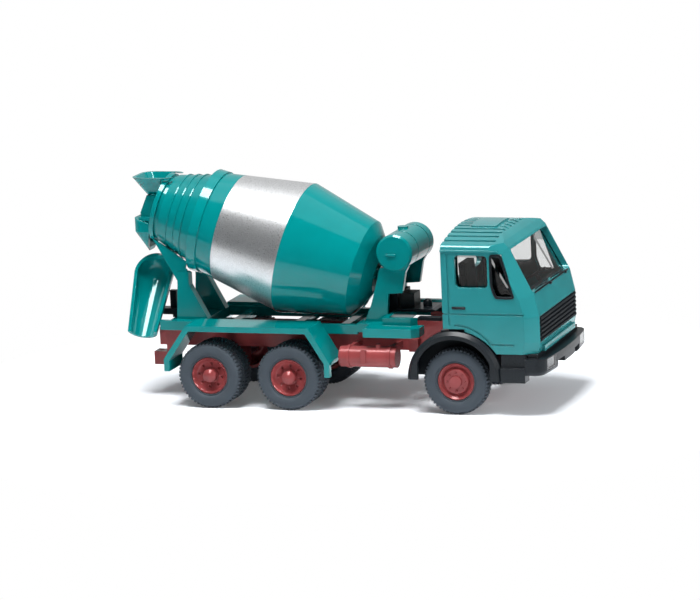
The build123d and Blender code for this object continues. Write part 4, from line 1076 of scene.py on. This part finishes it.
    def room(self, scene, strength):
        """Even light all round, white where it is seen."""
        world = bpy.data.worlds.new("studio_room")
        scene.world = world
        world.use_nodes = True
        tree = world.node_tree
        tree.nodes.clear()
        even = add_node(tree, "ShaderNodeBackground", values={"Color": self.room_tone, "Strength": strength})
        white = add_node(tree, "ShaderNodeBackground", values={"Color": self.white, "Strength": 1})
        mix = add_node(tree, "ShaderNodeMixShader")
        output = add_node(tree, "ShaderNodeOutputWorld")
        tree.links.new(self.seen_rays(tree), mix.inputs["Fac"])
        tree.links.new(even.outputs["Background"], mix.inputs[1])
        tree.links.new(white.outputs["Background"], mix.inputs[2])
        tree.links.new(mix.outputs["Shader"], output.inputs["Surface"])

    def soft_box(self, name, place, target, size, power):
        """A rectangular soft box that faces the model."""
        begin()
        bpy.ops.object.light_add(type="AREA", location=place)
        lamp = bpy.context.object
        lamp.name = name
        lamp.data.shape = "RECTANGLE"
        lamp.data.size, lamp.data.size_y = size
        lamp.data.energy = power
        lamp.rotation_euler = (Vector(target) - Vector(place)).to_track_quat("-Z", "Y").to_euler()

    def camera(self, scene, studio):
        """The photograph's view of the model's right side and front."""
        begin()
        bpy.ops.object.camera_add()
        camera = bpy.context.object
        camera.name = "camera"
        level = cos(studio.elevation)
        back = Vector((sin(studio.azimuth) * level, -cos(studio.azimuth) * level, sin(studio.elevation)))
        right = (-back).cross(Vector((0, 0, 1))).normalized()
        up = right.cross(-back)
        leaning_right = cos(studio.roll) * right + sin(studio.roll) * up
        leaning_up = cos(studio.roll) * up - sin(studio.roll) * right
        camera.rotation_euler = Matrix((leaning_right, leaning_up, back)).transposed().to_euler()
        camera.location = Vector(self.camera_target) * MM + back * studio.distance
        camera.data.sensor_width = 36
        camera.data.lens = studio.lens
        camera.data.clip_start = 0.05
        camera.data.clip_end = 20
        scene.camera = camera


class MIXER_PT_panel(Panel):
    """Sidebar panel with the model's making steps"""
    bl_idname = "MIXER_PT_panel"
    bl_label = "Mixer Truck"
    bl_space_type = "VIEW_3D"
    bl_region_type = "UI"
    bl_category = "Mixer Truck"

    def draw(self, context):
        layout = self.layout
        for group in (context.scene.mixer_finish, context.scene.mixer_trim, context.scene.mixer_studio):
            box = layout.box()
            for name in group.bl_rna.properties.keys():
                if name not in ("rna_type", "name"):
                    box.prop(group, name)
        for step in STEPS:
            layout.operator(step.bl_idname)


STEPS = (MIXER_OT_mixer_finish, MIXER_OT_cab_finish, MIXER_OT_chassis_finish, MIXER_OT_tyres,
         MIXER_OT_front_wheel_nuts, MIXER_OT_rear_rims, MIXER_OT_window_rubbers, MIXER_OT_screen_seal,
         MIXER_OT_wipers, MIXER_OT_liners_and_arch_shade, MIXER_OT_door_handles, MIXER_OT_rail_strips,
         MIXER_OT_lamp_reflectors, MIXER_OT_studio)
GROUPS = {"mixer_finish": MixerFinish, "mixer_trim": MixerTrim, "mixer_studio": MixerStudio}


def register():
    """Adds the properties, operators and panel."""
    for group in GROUPS.values():
        bpy.utils.register_class(group)
    for name, group in GROUPS.items():
        setattr(bpy.types.Scene, name, PointerProperty(type=group))
    for step in (*STEPS, MIXER_PT_panel):
        bpy.utils.register_class(step)


def unregister():
    """Takes the panel, operators and properties away again."""
    for step in reversed((*STEPS, MIXER_PT_panel)):
        bpy.utils.unregister_class(step)
    for name, group in GROUPS.items():
        delattr(bpy.types.Scene, name)
        bpy.utils.unregister_class(group)


def main():
    """Makes every piece and the studio."""
    register()
    bpy.ops.mixer.mixer_finish()
    bpy.ops.mixer.cab_finish()
    bpy.ops.mixer.chassis_finish()
    bpy.ops.mixer.tyres()
    bpy.ops.mixer.front_wheel_nuts()
    bpy.ops.mixer.rear_rims()
    bpy.ops.mixer.window_rubbers()
    bpy.ops.mixer.screen_seal()
    bpy.ops.mixer.wipers()
    bpy.ops.mixer.arch_liners()
    bpy.ops.mixer.door_handles()
    bpy.ops.mixer.rail_strips()
    bpy.ops.mixer.lamp_reflectors()
    bpy.ops.mixer.studio()


if __name__ == "__main__":
    main()
